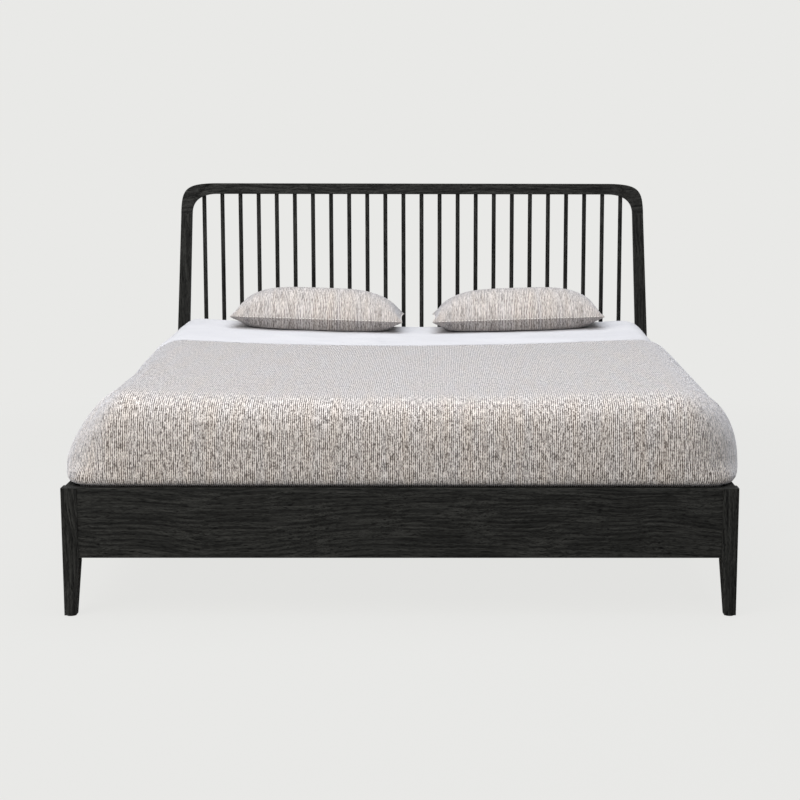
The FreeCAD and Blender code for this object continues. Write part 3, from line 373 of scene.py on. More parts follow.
def ticking():
    """Pale ticking with a fine woven stripe."""
    material, tree, place = new_material("mattress_ticking")
    weave = fill_group(tree, plain_weave, {"Vector": place, "Threads": 700.0}).outputs["Height"]
    split = shader_node(tree, "ShaderNodeSeparateXYZ", {0: place}).outputs
    waves = reckon(tree, "SINE", reckon(tree, "MULTIPLY", split[0], math.tau / MATTRESS["stripe"]))
    stripe = spread(tree, waves, 0.80, 0.88)
    base = between(tree, stripe, (0.74, 0.73, 0.70, 1), (0.50, 0.52, 0.55, 1))
    threads = between(tree, reckon(tree, "MULTIPLY", weave, 0.25), base, (0.45, 0.44, 0.42, 1))
    return surface(material, tree, threads, 0.85, weave, 0.0003, 0.7, Sheen_Weight=0.15)


mattress_low, mattress_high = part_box("mattress")
mattress_ticking = ticking()


def rounded_place(place, low, high, corner, edge):
    """A place on a sharp box moved to the same box with round upright corners and round edges."""
    core_low, core_high = low + Vector((corner, corner, 0)), high - Vector((corner, corner, 0))
    core = Vector((min(max(place.x, core_low.x), core_high.x), min(max(place.y, core_low.y), core_high.y)))
    out = Vector((place.x - core.x, place.y - core.y))
    reach = max(abs(out.x), abs(out.y))
    flat = core + out.normalized() * reach if reach > 0 else core
    rim = max(reach - (corner - edge), 0.0)
    up = Vector((rim, max(place.z - (high.z - edge), 0.0) - max(low.z + edge - place.z, 0.0)))
    tall = max(rim, abs(up.y))
    if rim > 0 and abs(up.y) > 0:
        turned = up.normalized() * tall
        flat = core + out.normalized() * (reach - rim + turned.x)
        z = (high.z - edge if up.y > 0 else low.z + edge) + turned.y
    else:
        z = place.z
    return Vector((flat.x, flat.y, z))


def mattress_piece():
    """The mattress as a finely divided box, rounded and settled."""
    bm = bmesh.new()
    bmesh.ops.create_cube(bm, size=1.0)
    size, centre = mattress_high - mattress_low, (mattress_high + mattress_low) / 2
    bmesh.ops.scale(bm, vec=size, verts=bm.verts)
    bmesh.ops.translate(bm, vec=centre, verts=bm.verts)
    bmesh.ops.subdivide_edges(bm, edges=bm.edges[:], cuts=MATTRESS["cells"], use_grid_fill=True)
    for vert in bm.verts:
        vert.co = rounded_place(vert.co, mattress_low, mattress_high, MATTRESS["corner"], MATTRESS["edge"])
        vert.co = settled(vert.co, mattress_high.z, MATTRESS["sheet_room"])
    return link_piece("mattress_body", bm, mattress_ticking)


mattress = mattress_piece()
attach(mattress, "bedding")
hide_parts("mattress")


# ---------------------------------------------------------------- fitted sheet
# A fitted sheet of white cotton percale, pulled over the mattress and held under it by an elastic hem.
# It shows between the coverlet and the headboard, and behind the pillows.
SHEET = dict(core=0.113, round=0.080, swell=0.002, swells_at=(0.48, 0.44), under=0.045, thickness=0.0006,
             cell=0.0125, wave=0.0022, sinks=0.8, threads=900.0, creases=(4.0, 7.0, 1.0), thread_share=0.12,
             thread_relief=0.08, thread_tops=(0.70, 0.70, 0.74, 1),
             pressed=((0.575, 0.572, 0.597, 1), (0.632, 0.629, 0.651, 1)))
QUARTER_ROUND = 0.5523  # the length of a quarter circle's handles for its radius


def run(*ends, steps=14):
    """Points along one curve given by its two ends and the two handles between them."""
    return interpolate_bezier(*(Vector(end) for end in ends), steps + 1)


class Skirt:
    """How cloth turns down from the edge of its flat middle: places (out in X, out in Y, height) by length."""

    def __init__(self, *runs):
        self.places = [runs[0][0]] + [place for points in runs for place in points[1:]]
        self.reach = [0.0]
        for before, after in zip(self.places, self.places[1:]):
            self.reach.append(self.reach[-1] + (after - before).length)
        self.length = self.reach[-1]

    def at(self, drop):
        """The place that a length of cloth past the edge comes to."""
        after = min(max(bisect.bisect_right(self.reach, drop), 1), len(self.reach) - 1)
        share = (drop - self.reach[after - 1]) / (self.reach[after] - self.reach[after - 1])
        return self.places[after - 1].lerp(self.places[after], min(share, 1.0))

    def height(self, out):
        """How high the cloth stands at a distance out from the edge of its flat middle."""
        for before, after in zip(self.places, self.places[1:]):
            if before.x <= out <= after.x:
                return before.lerp(after, (out - before.x) / max(after.x - before.x, 1e-9)).z
        return max(self.places, key=lambda place: place.x).z


def wrapped(flat, low, high, skirt):
    """Where a place of the flat cloth lies on the bed: level inside the core, and past it down the skirt."""
    core = Vector((min(max(flat.x, low.x), high.x), min(max(flat.y, low.y), high.y)))
    over = Vector((flat.x - core.x, flat.y - core.y))
    along, across = sorted((abs(over.x), abs(over.y)))
    if across == 0:
        return Vector((core.x, core.y, skirt.places[0].z))
    turn = math.pi / 4 * along / across
    if abs(over.x) > abs(over.y):
        turn = math.pi / 2 - turn
    out = skirt.at(across)
    return Vector((core.x + math.copysign(out.x * math.sin(turn), over.x),
                   core.y + math.copysign(out.y * math.cos(turn), over.y), out.z))


def flat_cloth(low, high, cell):
    """A flat grid of square cells between two corners, with its own flat places as a UV map."""
    bm = bmesh.new()
    columns, rows = round((high.x - low.x) / cell), round((high.y - low.y) / cell)
    bmesh.ops.create_grid(bm, x_segments=columns, y_segments=rows, size=0.5)
    bmesh.ops.scale(bm, vec=(high.x - low.x, high.y - low.y, 1), verts=bm.verts)
    bmesh.ops.translate(bm, vec=((high.x + low.x) / 2, (high.y + low.y) / 2, 0), verts=bm.verts)
    flat = bm.loops.layers.uv.new("flat")
    for face in bm.faces:
        for loop in face.loops:
            loop[flat].uv = loop.vert.co.xy
    return bm


def percale():
    """White cotton percale: a fine even weave with a cool tone and soft pressing creases."""
    material, tree, _ = new_material("cotton_percale")
    flat = shader_node(tree, "ShaderNodeUVMap", uv_map="flat").outputs[0]
    weave = fill_group(tree, plain_weave, {"Vector": flat, "Threads": SHEET["threads"]}).outputs["Height"]
    creases = drawn_noise(tree, flat, SHEET["creases"], 4.0, Distortion=0.8)
    tone = between(tree, spread(tree, creases, 0.35, 0.65), *SHEET["pressed"])
    base = between(tree, reckon(tree, "MULTIPLY", weave, SHEET["thread_share"]), tone, SHEET["thread_tops"])
    relief = reckon(tree, "ADD", reckon(tree, "MULTIPLY", weave, SHEET["thread_relief"]), creases)
    return surface(material, tree, base, 0.85, relief, 0.0016, 0.7, Sheen_Weight=0.12)


def solid_cloth(piece, thickness):
    """Gives a sheet of cloth its thickness, inwards from its face."""
    wall = piece.modifiers.new("thickness", "SOLIDIFY")
    wall.thickness = thickness
    wall.offset = -1.0
    wall.use_rim = True


def sway(flat, across, along, layer, small, finer):
    """The soft waves of a cloth at a place of it: long ones, and smaller and finer ones over them."""
    return noise.noise(Vector((flat.x * across, flat.y * along, layer))) + small * noise.noise(flat * finer)


def fitted_sheet_piece():
    """The sheet, turned down all round and gathered under the mattress."""
    core, edge, under = SHEET["core"], SHEET["round"], SHEET["under"]
    level, low_edge = SETTLED["level"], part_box("fitted_sheet")[0].z
    flat_run = core - edge
    bow = edge * QUARTER_ROUND
    swollen, (swell_top, swell_low) = core + SHEET["swell"], SHEET["swells_at"]
    skirt = Skirt(
        run((0, 0, level), (0, 0, level), (flat_run, flat_run, level), (flat_run, flat_run, level), steps=3),
        run((flat_run, flat_run, level), (flat_run + bow, flat_run + bow, level),
            (core, core, level - edge + bow), (core, core, level - edge)),
        run((core, core, level - edge), (swollen, swollen, swell_top), (swollen, swollen, swell_low),
            (core, core, low_edge + under)),
        run((core, core, low_edge + under), (core, core, low_edge + under * 0.4),
            (core - under * 0.5, core - under * 0.5, low_edge), (core - under, core - under, low_edge)))
    low, high = Vector((-half_width + core, foot_end + core)), Vector((half_width - core, head_end - core))
    reach = Vector((skirt.length, skirt.length))
    bm = flat_cloth(low - reach, high + reach, SHEET["cell"])
    for vert in bm.verts:
        flat = vert.co.copy()
        place = settled(wrapped(flat, low, high, skirt), level)
        waves = sway(flat, across=3.1, along=4.3, layer=2.0, small=0.5, finer=9.0)
        hidden = ease((side_top + 0.03 - place.z) / 0.06)
        place.z += SHEET["wave"] * (waves - SHEET["sinks"]) * (1 - hidden)
        vert.co = place
    bmesh.ops.recalc_face_normals(bm, faces=bm.faces[:])
    piece = link_piece("fitted_sheet_cotton", bm, percale())
    solid_cloth(piece, SHEET["thickness"])
    size = high - low + 2 * reach
    spare_corner = skirt.length ** 2 - math.pi * core * (skirt.length - core * 0.4)
    cut_away = 4 * max(spare_corner, 0.0) * 0.5
    return piece, (size.x, size.y), size.x * size.y - cut_away


sheet, sheet_flat, sheet_area = fitted_sheet_piece()
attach(sheet, "bedding")
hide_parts("fitted_sheet")


# ---------------------------------------------------------------- coverlet
# A heavy coverlet in a ribbed melange weave of wool-grey, fawn and cream yarns, its ribs along the bed.
# It lies over the foot two thirds of the bed, rounds over the foot and sides in a full curve, and is
# tucked down between the mattress and the rails.
COVER = dict(level=0.6058, widest=0.416, out=0.168, hangs=0.032, draws_in=0.004, tuck=(0.9076, 1.0198),
             rail_gap=0.002, tuck_end=0.344, thickness=0.004, cell=0.0125, sheet_gap=0.002, give=0.003, wave=0.0028,
             fold=0.004, rib=0.0058, foot_curve=(0.80, 0.80), corner_square=3.0, square_from=0.72, square_over=0.24,
             hem_curve=(-0.055, 0.045, 0.03), hem_fades=0.7, mitre_share=0.45)
COVER.update(free_from=0.01, free_over=0.05, fold_over=0.05, fold_ends=1.3, lifts=0.1)
COVER_LEFT = dict(reach=0.9480, low_curve=(0.421, 0.206), high_curve=(0.533, 0.558), foot=0.020, hem=0.029,
                  rises=-0.473)
COVER_RIGHT = dict(reach=0.9559, low_curve=(0.588, 0.573), high_curve=(0.673, 0.691), foot=0.018, hem=0.020,
                   rises=-0.868)


# Each kind of thread in the melange: how often it changes from rib to rib and in a metre along them, the range
# that its noise mostly keeps to, and its share in how pale the cloth is.
MELANGE = dict(wander=(9.0, 6.0, 1.0), stray=0.006, middle=0.51, rib_share=0.44, stitch_relief=1.5,
               slub=dict(size=(1.4, 38.0, 1.0), detail=2.0, usual=(0.28, 0.72), share=0.66),
               stitch=dict(size=(2.1, 150.0, 1.0), detail=1.0, usual=(0.25, 0.75), share=0.60),
               lot=dict(size=(0.17, 3.4, 1.0), detail=3.0, usual=(0.32, 0.68)))
YARNS = dict(cool=((0.110, 0.095, 0.088), (0.875, 0.822, 0.795)), warm=((0.115, 0.088, 0.070), (0.882, 0.800, 0.735)))


def melange_group():
    """Ribbed melange: ribs along Y of the cloth, each a row of stitches spun from mixed pale and dark fibres."""
    group, given, put_out = effect_group(
        "ribbed_melange", [("Vector", "NodeSocketVector"), ("Rib", "NodeSocketFloat")],
        [("Height", "NodeSocketFloat"), ("Pale", "NodeSocketFloat"), ("Warm", "NodeSocketFloat")])
    wander = drawn_noise(group, given.outputs["Vector"], MELANGE["wander"], 3.0)
    split = shader_node(group, "ShaderNodeSeparateXYZ", {0: given.outputs["Vector"]}).outputs
    strayed = reckon(group, "MULTIPLY_ADD", wander, MELANGE["stray"], split[0])
    ribs_across = reckon(group, "DIVIDE", strayed, given.outputs["Rib"])
    ribs = reckon(group, "SINE", reckon(group, "MULTIPLY", ribs_across, math.tau))
    lane = shader_node(group, "ShaderNodeCombineXYZ", {0: ribs_across, 1: split[1]}).outputs[0]
    slub, stitch, lot = (drawn_noise(group, lane, MELANGE[thread]["size"], MELANGE[thread]["detail"])
                         for thread in ("slub", "stitch", "lot"))
    pale = MELANGE["middle"]
    for fibres, thread in ((slub, MELANGE["slub"]), (stitch, MELANGE["stitch"])):
        uneven = spread(group, fibres, *thread["usual"], -1.0, 1.0)
        pale = reckon(group, "MULTIPLY_ADD", uneven, thread["share"], pale)
    pale = reckon(group, "MULTIPLY_ADD", ribs, MELANGE["rib_share"], pale)
    height = reckon(group, "MULTIPLY_ADD", stitch, MELANGE["stitch_relief"], spread(group, ribs, -1.0, 1.0))
    give(group, put_out, Height=height, Pale=spread(group, pale, 0.0, 1.0),
         Warm=spread(group, lot, *MELANGE["lot"]["usual"]))
    return group


ribbed_melange = melange_group()


def spun(yarn, beside, shade, soft):
    """A yarn's colour in one cloth: shaded, and softened towards the yarn that it is mixed with."""
    return (*(shade * (tone + soft * (other - tone) / 2) for tone, other in zip(yarn, beside)), 1)


def melange_cloth(name, rib, shade=1.0, sheen=1.0, soft=0.0, slub_length=1.0):
    """The ribbed cloth of the coverlet and the pillows, from its dark and pale yarns in a cool and a warm lot."""
    material, tree, _ = new_material(name)
    flat = shader_node(tree, "ShaderNodeUVMap", uv_map="flat").outputs[0]
    drawn = stretched(tree, flat, (1.0, 1.0 / slub_length, 1.0))
    cloth = fill_group(tree, ribbed_melange, {"Vector": drawn, "Rib": rib}).outputs
    lots = {lot: between(tree, cloth["Pale"], spun(dark, pale, shade, soft), spun(pale, dark, shade, soft))
            for lot, (dark, pale) in YARNS.items()}
    base = between(tree, cloth["Warm"], lots["cool"], lots["warm"])
    return surface(material, tree, base, 0.9, cloth["Height"], 0.0012, 0.9, Sheen_Weight=sheen,
                   Sheen_Roughness=0.45, Sheen_Tint=(0.91, 0.93, 1.0, 1), Specular_IOR_Level=0.2)


coverlet_cloth = melange_cloth("ribbed_melange_coverlet", COVER["rib"])


def corner_seam(bm, low, high):
    """Splits the cells that a foot corner's mitre seam crosses, so that each side takes its own ribs."""
    for face in bm.faces[:]:
        on_seam = [v for v in face.verts
                   if v.co.y < low.y and abs(abs(v.co.x) - high.x - (low.y - v.co.y)) < COVER["cell"] * 0.02]
        if len(on_seam) == 2:
            bmesh.utils.face_split(face, *on_seam)


def corner_turn(past_side, past_foot):
    """How far round a foot corner a place of the flat cloth comes: 0 on the foot, a quarter turn on the side."""
    if past_side > past_foot:
        return math.pi / 2 - math.pi / 4 * past_foot / past_side
    return math.pi / 4 * past_side / past_foot if past_foot > 0 else 0.0


def ribs_round_corner(bm, low, high):
    """On the foot and round its corners the ribs run straight down, and on the sides along the bed."""
    flat = bm.loops.layers.uv["flat"]
    for face in bm.faces:
        middle = face.calc_center_median()
        if abs(middle.x) > high.x and middle.y < low.y:
            for loop in face.loops:
                past_side, past_foot = abs(loop.vert.co.x) - high.x, low.y - loop.vert.co.y
                drop, turn = max(past_side, past_foot), corner_turn(past_side, past_foot)
                loop[flat].uv = (math.copysign(high.x + min(drop, COVER["out"]) * turn, middle.x), low.y - drop)


rail_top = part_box("foot_rail")[1].z
cover_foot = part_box("coverlet")[0].y


def cover_skirt(reach, curve):
    """One curve of the coverlet over a side and the foot, from its flat top down into the tuck inside the rail."""
    level, widest, out = COVER["level"], COVER["widest"], COVER["out"]
    tuck = Vector((out - reach + COVER["tuck"][0], out + cover_foot + COVER["tuck"][1],
                   rail_top + COVER["rail_gap"]))
    flat, upright = out * curve[0], widest + (level - widest) * curve[1]
    near_rail, end = out - COVER["draws_in"], COVER["tuck_end"]
    return Skirt(
        run((0, 0, level), (flat, flat, level), (out, out, upright), (out, out, widest)),
        run((out, out, widest), (out, out, widest - COVER["hangs"]), (near_rail, near_rail, tuck.z + 0.002), tuck),
        run(tuck, (tuck.x, tuck.y, tuck.z - 0.006), (tuck.x, tuck.y, end + 0.006), (tuck.x, tuck.y, end), steps=4))


for side in (COVER_LEFT, COVER_RIGHT):
    side["low_skirt"] = cover_skirt(side["reach"], side["low_curve"])
    side["high_skirt"] = cover_skirt(side["reach"], side["high_curve"])
foot_skirt = cover_skirt(COVER_LEFT["reach"], COVER["foot_curve"])


def side_of(x):
    """The left or the right side's values."""
    return COVER_RIGHT if x > 0 else COVER_LEFT


def towards_hem(side, y):
    """How far a place has gone over from a side's shape at the foot to its shape at the hem."""
    return ease((y - side["rises"]) / (hem_place - side["rises"]))


def risen(place):
    """A place of the coverlet lifted with the higher sides of the mattress, with what is under its widest left."""
    side = side_of(place.x)
    lift = side["foot"] + (side["hem"] - side["foot"]) * towards_hem(side, place.y)
    share = max(place.z - COVER["widest"], 0.0) / (COVER["level"] - COVER["widest"])
    return Vector((place.x, place.y, place.z + share * lift * min(abs(place.x) / half_width, 1.0) ** 2))


def cover_height(x, y):
    """How high the coverlet's face stands over a place inside its widest line."""
    side = side_of(x)
    past_side = max(abs(x) - side["reach"] + COVER["out"], 0.0)
    past_foot = max(cover_foot + COVER["out"] - y, 0.0)
    past = math.hypot(past_side, past_foot)
    foot_share = (past_foot / past) ** 4 if past > 0 else 0.0
    along = towards_hem(side, y)
    over_side = side["low_skirt"].height(past) * (1 - along) + side["high_skirt"].height(past) * along
    return risen(Vector((x, y, over_side * (1 - foot_share) + foot_skirt.height(past) * foot_share))).z


def hem_at(x):
    """Where the coverlet's head edge lies: not quite straight, nearer to the foot in the middle and the left."""
    offset, slope, bow = COVER["hem_curve"]
    return hem_place + offset + slope * x + bow * x * x


def draped(flat, low, high, length):
    """Where a place of the flat coverlet lies on the bed."""
    side, core = side_of(flat.x), Vector((min(max(flat.x, low.x), high.x), max(flat.y, low.y)))
    past_side, past_foot = abs(flat.x) - abs(core.x), core.y - flat.y
    share = max(past_side, past_foot) / length
    along = towards_hem(side, flat.y)
    over_side = side["low_skirt"].at(share * side["low_skirt"].length).lerp(
        side["high_skirt"].at(share * side["high_skirt"].length), along)
    over_foot = foot_skirt.at(share * foot_skirt.length)
    turn = corner_turn(past_side, past_foot)
    foot_share = math.cos(turn) ** 4 if past_foot > 0 else 0.0
    edge = (side["reach"] - COVER["out"]) * min(abs(flat.x) / high.x, 1.0)
    square = 2 + COVER["corner_square"] * ease((share - COVER["square_from"]) / COVER["square_over"])
    sine, cosine = math.sin(turn), max(math.cos(turn), 0.0)
    round_out = (sine ** square + cosine ** square) ** (1 / square)
    out = (over_side.x * (1 - foot_share) + over_foot.x * foot_share) * sine / round_out
    down = (over_side.y * (1 - foot_share) + over_foot.y * foot_share) * cosine / round_out
    near_hem = ease((flat.y - hem_place + COVER["hem_fades"]) / COVER["hem_fades"])
    shift = (hem_at(flat.x) - hem_place) * near_hem
    return Vector((math.copysign(edge + (out if past_side > 0 else 0.0), flat.x),
                   core.y + shift - (down if past_foot > 0 else 0.0),
                   over_side.z * (1 - foot_share) + over_foot.z * foot_share))


def coverlet_piece():
    """The coverlet, turned down over the foot and the sides and tucked in, with a fold at each foot corner."""
    out, length = COVER["out"], (foot_skirt.length + COVER_RIGHT["low_skirt"].length) / 2
    step = length / round(length / COVER["cell"])
    columns = round((COVER_LEFT["reach"] + COVER_RIGHT["reach"] - 2 * out) / step)
    rows = round((hem_place - cover_foot - out) / step)
    low = Vector((-columns * step / 2, cover_foot + out))
    high = Vector((columns * step / 2, low.y + rows * step))
    reach = Vector((length, length))
    bm = flat_cloth(low - reach, Vector((high.x + reach.x, high.y)), step)
    corner_seam(bm, low, high)
    ribs_round_corner(bm, low, high)
    for vert in bm.verts:
        flat = vert.co.copy()
        place = risen(draped(flat, low, high, length))
        free = ease((place.z - rail_top - COVER["free_from"]) / COVER["free_over"])
        past_side, past_foot = abs(flat.x) - high.x, low.y - flat.y
        if past_side > 0 and past_foot > step / 2:
            place.x += math.copysign(COVER["fold"] * free * ease(past_side / COVER["fold_over"])
                                     * ease(COVER["fold_ends"] - past_foot / past_side), flat.x)
        waves = sway(flat, across=2.3, along=2.9, layer=5.0, small=0.4, finer=7.0)
        place.z += COVER["wave"] * free * max(waves + COVER["lifts"], 0.0)
        vert.co = place
    bmesh.ops.recalc_face_normals(bm, faces=bm.faces[:])
    piece = link_piece("coverlet_melange", bm, coverlet_cloth)
    solid_cloth(piece, COVER["thickness"])
    width, cut_length = high.x - low.x + 2 * length, rows * step + length
    mitred_away = 2 * length ** 2 * COVER["mitre_share"]
    return piece, (width, cut_length), width * cut_length - mitred_away


def hold_down(piece, gap):
    """Keeps what the coverlet covers under it, coming softly to its inner face, and free again past its hem."""
    for vert in piece.data.vertices:
        past_hem = max(vert.co.y - hem_at(vert.co.x), 0.0)
        limit = cover_height(vert.co.x, vert.co.y) - COVER["thickness"] - gap + past_hem
        near = limit - COVER["give"]
        if vert.co.z > near:
            vert.co.z = limit - COVER["give"] * math.exp((near - vert.co.z) / COVER["give"])


coverlet, coverlet_flat, coverlet_area = coverlet_piece()
hold_down(sheet, COVER["sheet_gap"])
hold_down(mattress, COVER["sheet_gap"] + MATTRESS["sheet_room"])
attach(coverlet, "bedding")
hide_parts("coverlet")


# ---------------------------------------------------------------- pillows
# Two pillows of the same ribbed melange, each a front and a back panel sewn round the edge and filled with
# down, the back panel's cloth darkened all over as painted shade. They lie flat on the sheet against the
# headboard, seam forward, with pale stitches along the seam.
PILLOW = dict(width=0.715, depth=0.385, cell=0.0115, room=0.006, crown=0.101, crown_ends=(4, 0.8),
              crown_sides=(2.4, 0.72), belly=0.096, gather=1.2, draw_in=0.028, seam_height=0.0505, stray=0.006,
              frames=22, rough_frames=6, rib=0.0052, slub_length=2.4, on_sheet=0.0012, tilt=math.radians(1.9))
DOWN_FILLING = dict(quality=6, mass=0.25, tension_stiffness=40, compression_stiffness=20, shear_stiffness=15,
                    bending_stiffness=0.6, use_pressure=True, uniform_pressure_force=3.0)
SEAM_STITCH = dict(length=0.0078, gap=0.0046, thickness=0.0017, above=0.0036, from_corner=0.022)
pillow_cloth = melange_cloth("ribbed_melange_pillow", PILLOW["rib"], shade=0.97, sheen=0.7, soft=0.36,
                             slub_length=PILLOW["slub_length"])
# The back panel's cloth is the pillow cloth darkened all over: painted shade for the lower panel, which faces down.
pillow_back_painted_shade_cloth = melange_cloth("ribbed_melange_pillow_back_painted_shade", PILLOW["rib"], shade=0.76, sheen=0.4, soft=0.2,
                                  slub_length=PILLOW["slub_length"])


def pillow_bag():
    """The empty pillow: two flat panels sewn together round their edge."""
    half = Vector((PILLOW["width"] / 2, PILLOW["depth"] / 2))
    bm = flat_cloth(-half, half, PILLOW["cell"])
    under = bmesh.ops.duplicate(bm, geom=bm.verts[:] + bm.edges[:] + bm.faces[:])["geom"]
    back_faces = [part for part in under if isinstance(part, bmesh.types.BMFace)]
    bmesh.ops.reverse_faces(bm, faces=back_faces)
    back = {vert for face in back_faces for vert in face.verts}
    for vert in bm.verts:
        if not vert.is_boundary:
            vert.co.z = -PILLOW["room"] if vert in back else PILLOW["room"]
    # The back panel takes the second cloth, the one darkened as painted shade.
    for face in back_faces:
        face.material_index = 1
    bmesh.ops.remove_doubles(bm, verts=[vert for vert in bm.verts if vert.is_boundary], dist=1e-5)
    return bm


def plump(flat, size):
    """Where a place of the flat bag lies on the filled pillow, measured from the middle of its seam."""
    across, along = (math.sin(PILLOW["gather"] * share) / math.sin(PILLOW["gather"])
                     for share in (2 * flat.x / PILLOW["width"], 2 * flat.y / PILLOW["depth"]))
    if flat.z > 0:
        height = PILLOW["crown"]
        for share, (fullness, fall) in ((across, PILLOW["crown_ends"]), (along, PILLOW["crown_sides"])):
            height *= max(1 - abs(share) ** fullness, 0.0) ** fall
    elif flat.z < 0:
        height = -PILLOW["belly"] * max(1 - abs(across) ** 3, 0.0) * max(1 - along ** 2, 0.0)
    else:
        height = 0.0
    return Vector((across * size.x / 2 * (1 - PILLOW["draw_in"] * (1 - along ** 2)),
                   along * size.y / 2 * (1 - 2 * PILLOW["draw_in"] * (1 - across ** 2)), height))


def filled(piece):
    """Lets the cloth of the plumped bag settle on its filling, and gives the shape that it comes to."""
    cloth = piece.modifiers.new("filling", "CLOTH")
    settings = cloth.settings
    for name, setting in DOWN_FILLING.items():
        setattr(settings, name, setting)
    settings.effector_weights.gravity = 0
    settings.rest_shape_key = piece.data.shape_keys.key_blocks["cut"]
    cloth.collision_settings.use_collision = False
    for step in range(1, PILLOW["frames"] + 1):
        bpy.context.scene.frame_set(step)
    shaped = bpy.data.meshes.new_from_object(piece.evaluated_get(bpy.context.evaluated_depsgraph_get()))
    bpy.context.scene.frame_set(1)
    return shaped


def pillow_piece(name, node, tilt):
    """A filled pillow laid on the sheet, turned up with the mattress, and the ring of its seam."""
    low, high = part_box(node)
    bag = link_piece(name, pillow_bag(), pillow_cloth)
    bag.data.materials.append(pillow_back_painted_shade_cloth)
    made = bag.shape_key_add(name="made").data
    cut = bag.shape_key_add(name="cut").data
    seam = sorted((index for index, vert in enumerate(cut) if vert.co.z == 0),
                  key=lambda index: math.atan2(cut[index].co.y, cut[index].co.x))
    flat_places = [vert.co.copy() for vert in cut]
    full = [plump(place, high - low) for place in flat_places]
    for vert, place in zip(made, full):
        vert.co = place
    shaped = filled(bag)
    bpy.data.objects.remove(bag)
    bag = bpy.data.objects.new(name, shaped)
    bpy.context.scene.collection.objects.link(bag)
    centre = Vector(((low.x + high.x) / 2, (low.y + high.y) / 2, low.z + PILLOW["seam_height"]))
    for vert, place in zip(shaped.vertices, full):
        strayed = vert.co - place
        strayed *= min(1.0, PILLOW["stray"] / max(strayed.length, 1e-9))
        lain = Matrix.Rotation(tilt, 3, "Y") @ (place + strayed) + centre
        vert.co = Vector((lain.x, lain.y, max(lain.z, made_height(lain.x, lain.y) + PILLOW["on_sheet"])))
    finer = bag.modifiers.new("smooth", "SUBSURF")
    finer.levels = finer.render_levels = 1
    ring = [shaped.vertices[index].co.copy() for index in seam]
    corner = Vector((PILLOW["width"] / 2, PILLOW["depth"] / 2))
    corners = [place for index, place in zip(seam, ring)
               if max(abs(abs(flat_places[index].x) - corner.x), abs(abs(flat_places[index].y) - corner.y)) < 1e-4]
    return bag, ring, corners


def stitching_thread():
    """Pale waxed linen thread with a twist."""
    material, tree, place = new_material("linen_thread")
    twist = shader_node(tree, "ShaderNodeTexNoise", {"Vector": place, "Scale": 1400.0, "Detail": 2.0}).outputs["Fac"]
    base = between(tree, twist, (0.62, 0.57, 0.52, 1), (0.93, 0.90, 0.87, 1))
    return surface(material, tree, base, 0.7, twist, 0.0003, 0.6, Sheen_Weight=0.2)


def seam_stitches(name, ring, corners):
    """A row of short stitches along each side of the seam, each a small spindle of thread."""
    bm = bmesh.new()
    spacing = SEAM_STITCH["length"] + SEAM_STITCH["gap"]
    walked, due = 0.0, spacing
    for before, after in zip(ring, ring[1:] + ring[:1]):
        step = (after - before).length
        while due <= walked + step:
            place = before.lerp(after, (due - walked) / step) + Vector((0, 0, SEAM_STITCH["above"]))
            lying = (after - before).to_track_quat("X", "Z").to_matrix().to_4x4()
            shape = Matrix.Diagonal((SEAM_STITCH["length"] / 2, SEAM_STITCH["thickness"],
                                     SEAM_STITCH["thickness"], 1))
            if min((place - corner).length for corner in corners) > SEAM_STITCH["from_corner"]:
                bmesh.ops.create_uvsphere(bm, u_segments=6, v_segments=4, radius=1.0,
                                          matrix=Matrix.Translation(place) @ lying @ shape)
            due += spacing
        walked += step
    return link_piece(name, bm, linen_thread)


linen_thread = stitching_thread()
for side, tilt in (("left", PILLOW["tilt"]), ("right", -PILLOW["tilt"])):
    pillow, ring, corners = pillow_piece(f"pillow_{side}_down", f"pillow_{side}", tilt)
    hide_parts(f"pillow_{side}")
    for piece in (pillow, seam_stitches(f"pillow_{side}_stitches", ring, corners)):
        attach(piece, f"pillow_{side}")


# ---------------------------------------------------------------- camera, floor and light
# The photograph's view: a long lens four and a half metres in front of the foot rail, a little above the
# headboard and turned nine degrees down, with the bed left of the lens axis.
VIEW = dict(place=(0.11228, -5.636135, 1.322817), lens=76.03, shift=-0.0663,
            right=0.00725466, down=0.15361669, roll=0.00190412)
camera = bpy.data.objects.new("camera", bpy.data.cameras.new("camera"))
camera.data.lens = VIEW["lens"]
camera.data.shift_x = VIEW["shift"]
camera.matrix_world = (Matrix.Translation(VIEW["place"]) @ Matrix.Rotation(-VIEW["right"], 4, "Z")
                       @ Matrix.Rotation(math.pi / 2 - VIEW["down"], 4, "X")
                       @ Matrix.Rotation(VIEW["roll"], 4, "Z"))
bpy.context.scene.collection.objects.link(camera)
bpy.context.scene.camera = camera

# A pale seamless floor. What the camera sees of it, also through glass, is the plain paper tone with a share
# of the floor's own light and shadow near the bed.
PAPER = (0.815, 0.815, 0.799, 1)
STUDIO = dict(floor=30.0, shadow_near=0.070, near=1.5, far=3.4, ambient=0.29)


def seen_directly(tree):
    """1 where the camera looks, also through glass, and 0 for light that bounces."""
    path = shader_node(tree, "ShaderNodeLightPath").outputs
    return reckon(tree, "MAXIMUM", path["Is Camera Ray"], path["Is Transmission Ray"])


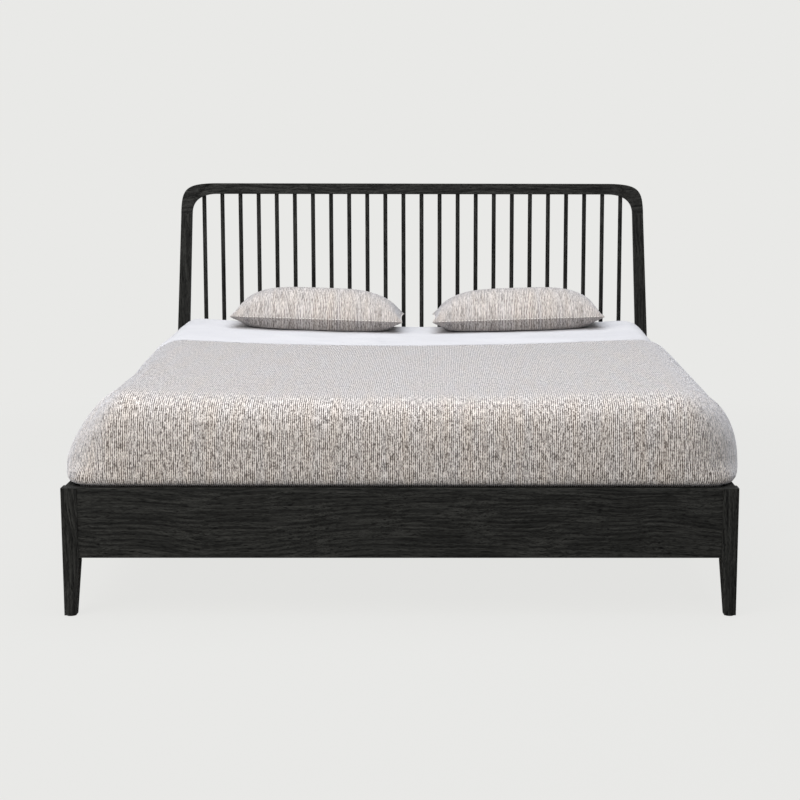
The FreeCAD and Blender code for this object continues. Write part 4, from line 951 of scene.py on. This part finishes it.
def paper_floor():
    """The floor's material."""
    material, tree, place = new_material("studio_floor")
    matt = shader_node(tree, "ShaderNodeBsdfDiffuse", {"Color": (0.58, 0.58, 0.57, 1)})
    glow = shader_node(tree, "ShaderNodeEmission", {"Color": PAPER, "Strength": 1.0})
    flat = shader_node(tree, "ShaderNodeVectorMath", {0: place}, operation="LENGTH").outputs["Value"]
    plain = spread(tree, flat, STUDIO["near"], STUDIO["far"], 1.0 - STUDIO["shadow_near"], 1.0)
    share = reckon(tree, "MULTIPLY", plain, seen_directly(tree))
    mixed = shader_node(tree, "ShaderNodeMixShader", {0: share, 1: matt.outputs[0], 2: glow.outputs[0]})
    shader_node(tree, "ShaderNodeOutputMaterial", {"Surface": mixed.outputs[0]})
    return material


floor_mesh = bmesh.new()
bmesh.ops.create_grid(floor_mesh, x_segments=1, y_segments=1, size=STUDIO["floor"])
floor = link_piece("studio_floor", floor_mesh, paper_floor(), smooth=False)

world = bpy.data.worlds.new("studio")
bpy.context.scene.world = world
world.use_nodes = True
world.node_tree.nodes.clear()
ambient = shader_node(world.node_tree, "ShaderNodeBackground", {
    "Color": (1.0, 1.0, 1.0, 1), "Strength": STUDIO["ambient"]})
paper = shader_node(world.node_tree, "ShaderNodeBackground", {"Color": PAPER, "Strength": 1.0})
sky = shader_node(world.node_tree, "ShaderNodeMixShader", {
    0: seen_directly(world.node_tree), 1: ambient.outputs[0], 2: paper.outputs[0]})
shader_node(world.node_tree, "ShaderNodeOutputWorld", {"Surface": sky.outputs[0]})


def softbox(name, place, target, size, power, tint):
    """A large soft lamp turned to its target."""
    lamp = bpy.data.lights.new(name, "AREA")
    lamp.shape = "RECTANGLE"
    lamp.size, lamp.size_y = size
    lamp.energy = power
    lamp.color = tint
    holder = bpy.data.objects.new(name, lamp)
    holder.location = place
    holder.rotation_euler = (Vector(target) - Vector(place)).to_track_quat("-Z", "Y").to_euler()
    bpy.context.scene.collection.objects.link(holder)


softbox("overhead_softbox", place=(0.0, -0.4, 4.2), target=(0.0, 0.0, 0.3), size=(4.5, 4.5), power=205.0,
        tint=(0.935, 0.962, 1.0))
softbox("left_softbox", place=(-3.2, -4.2, 4.3), target=(0.0, -0.6, 0.4), size=(3.0, 2.4), power=175.0,
        tint=(1.0, 0.968, 0.925))

bpy.context.scene.view_settings.view_transform = "Standard"
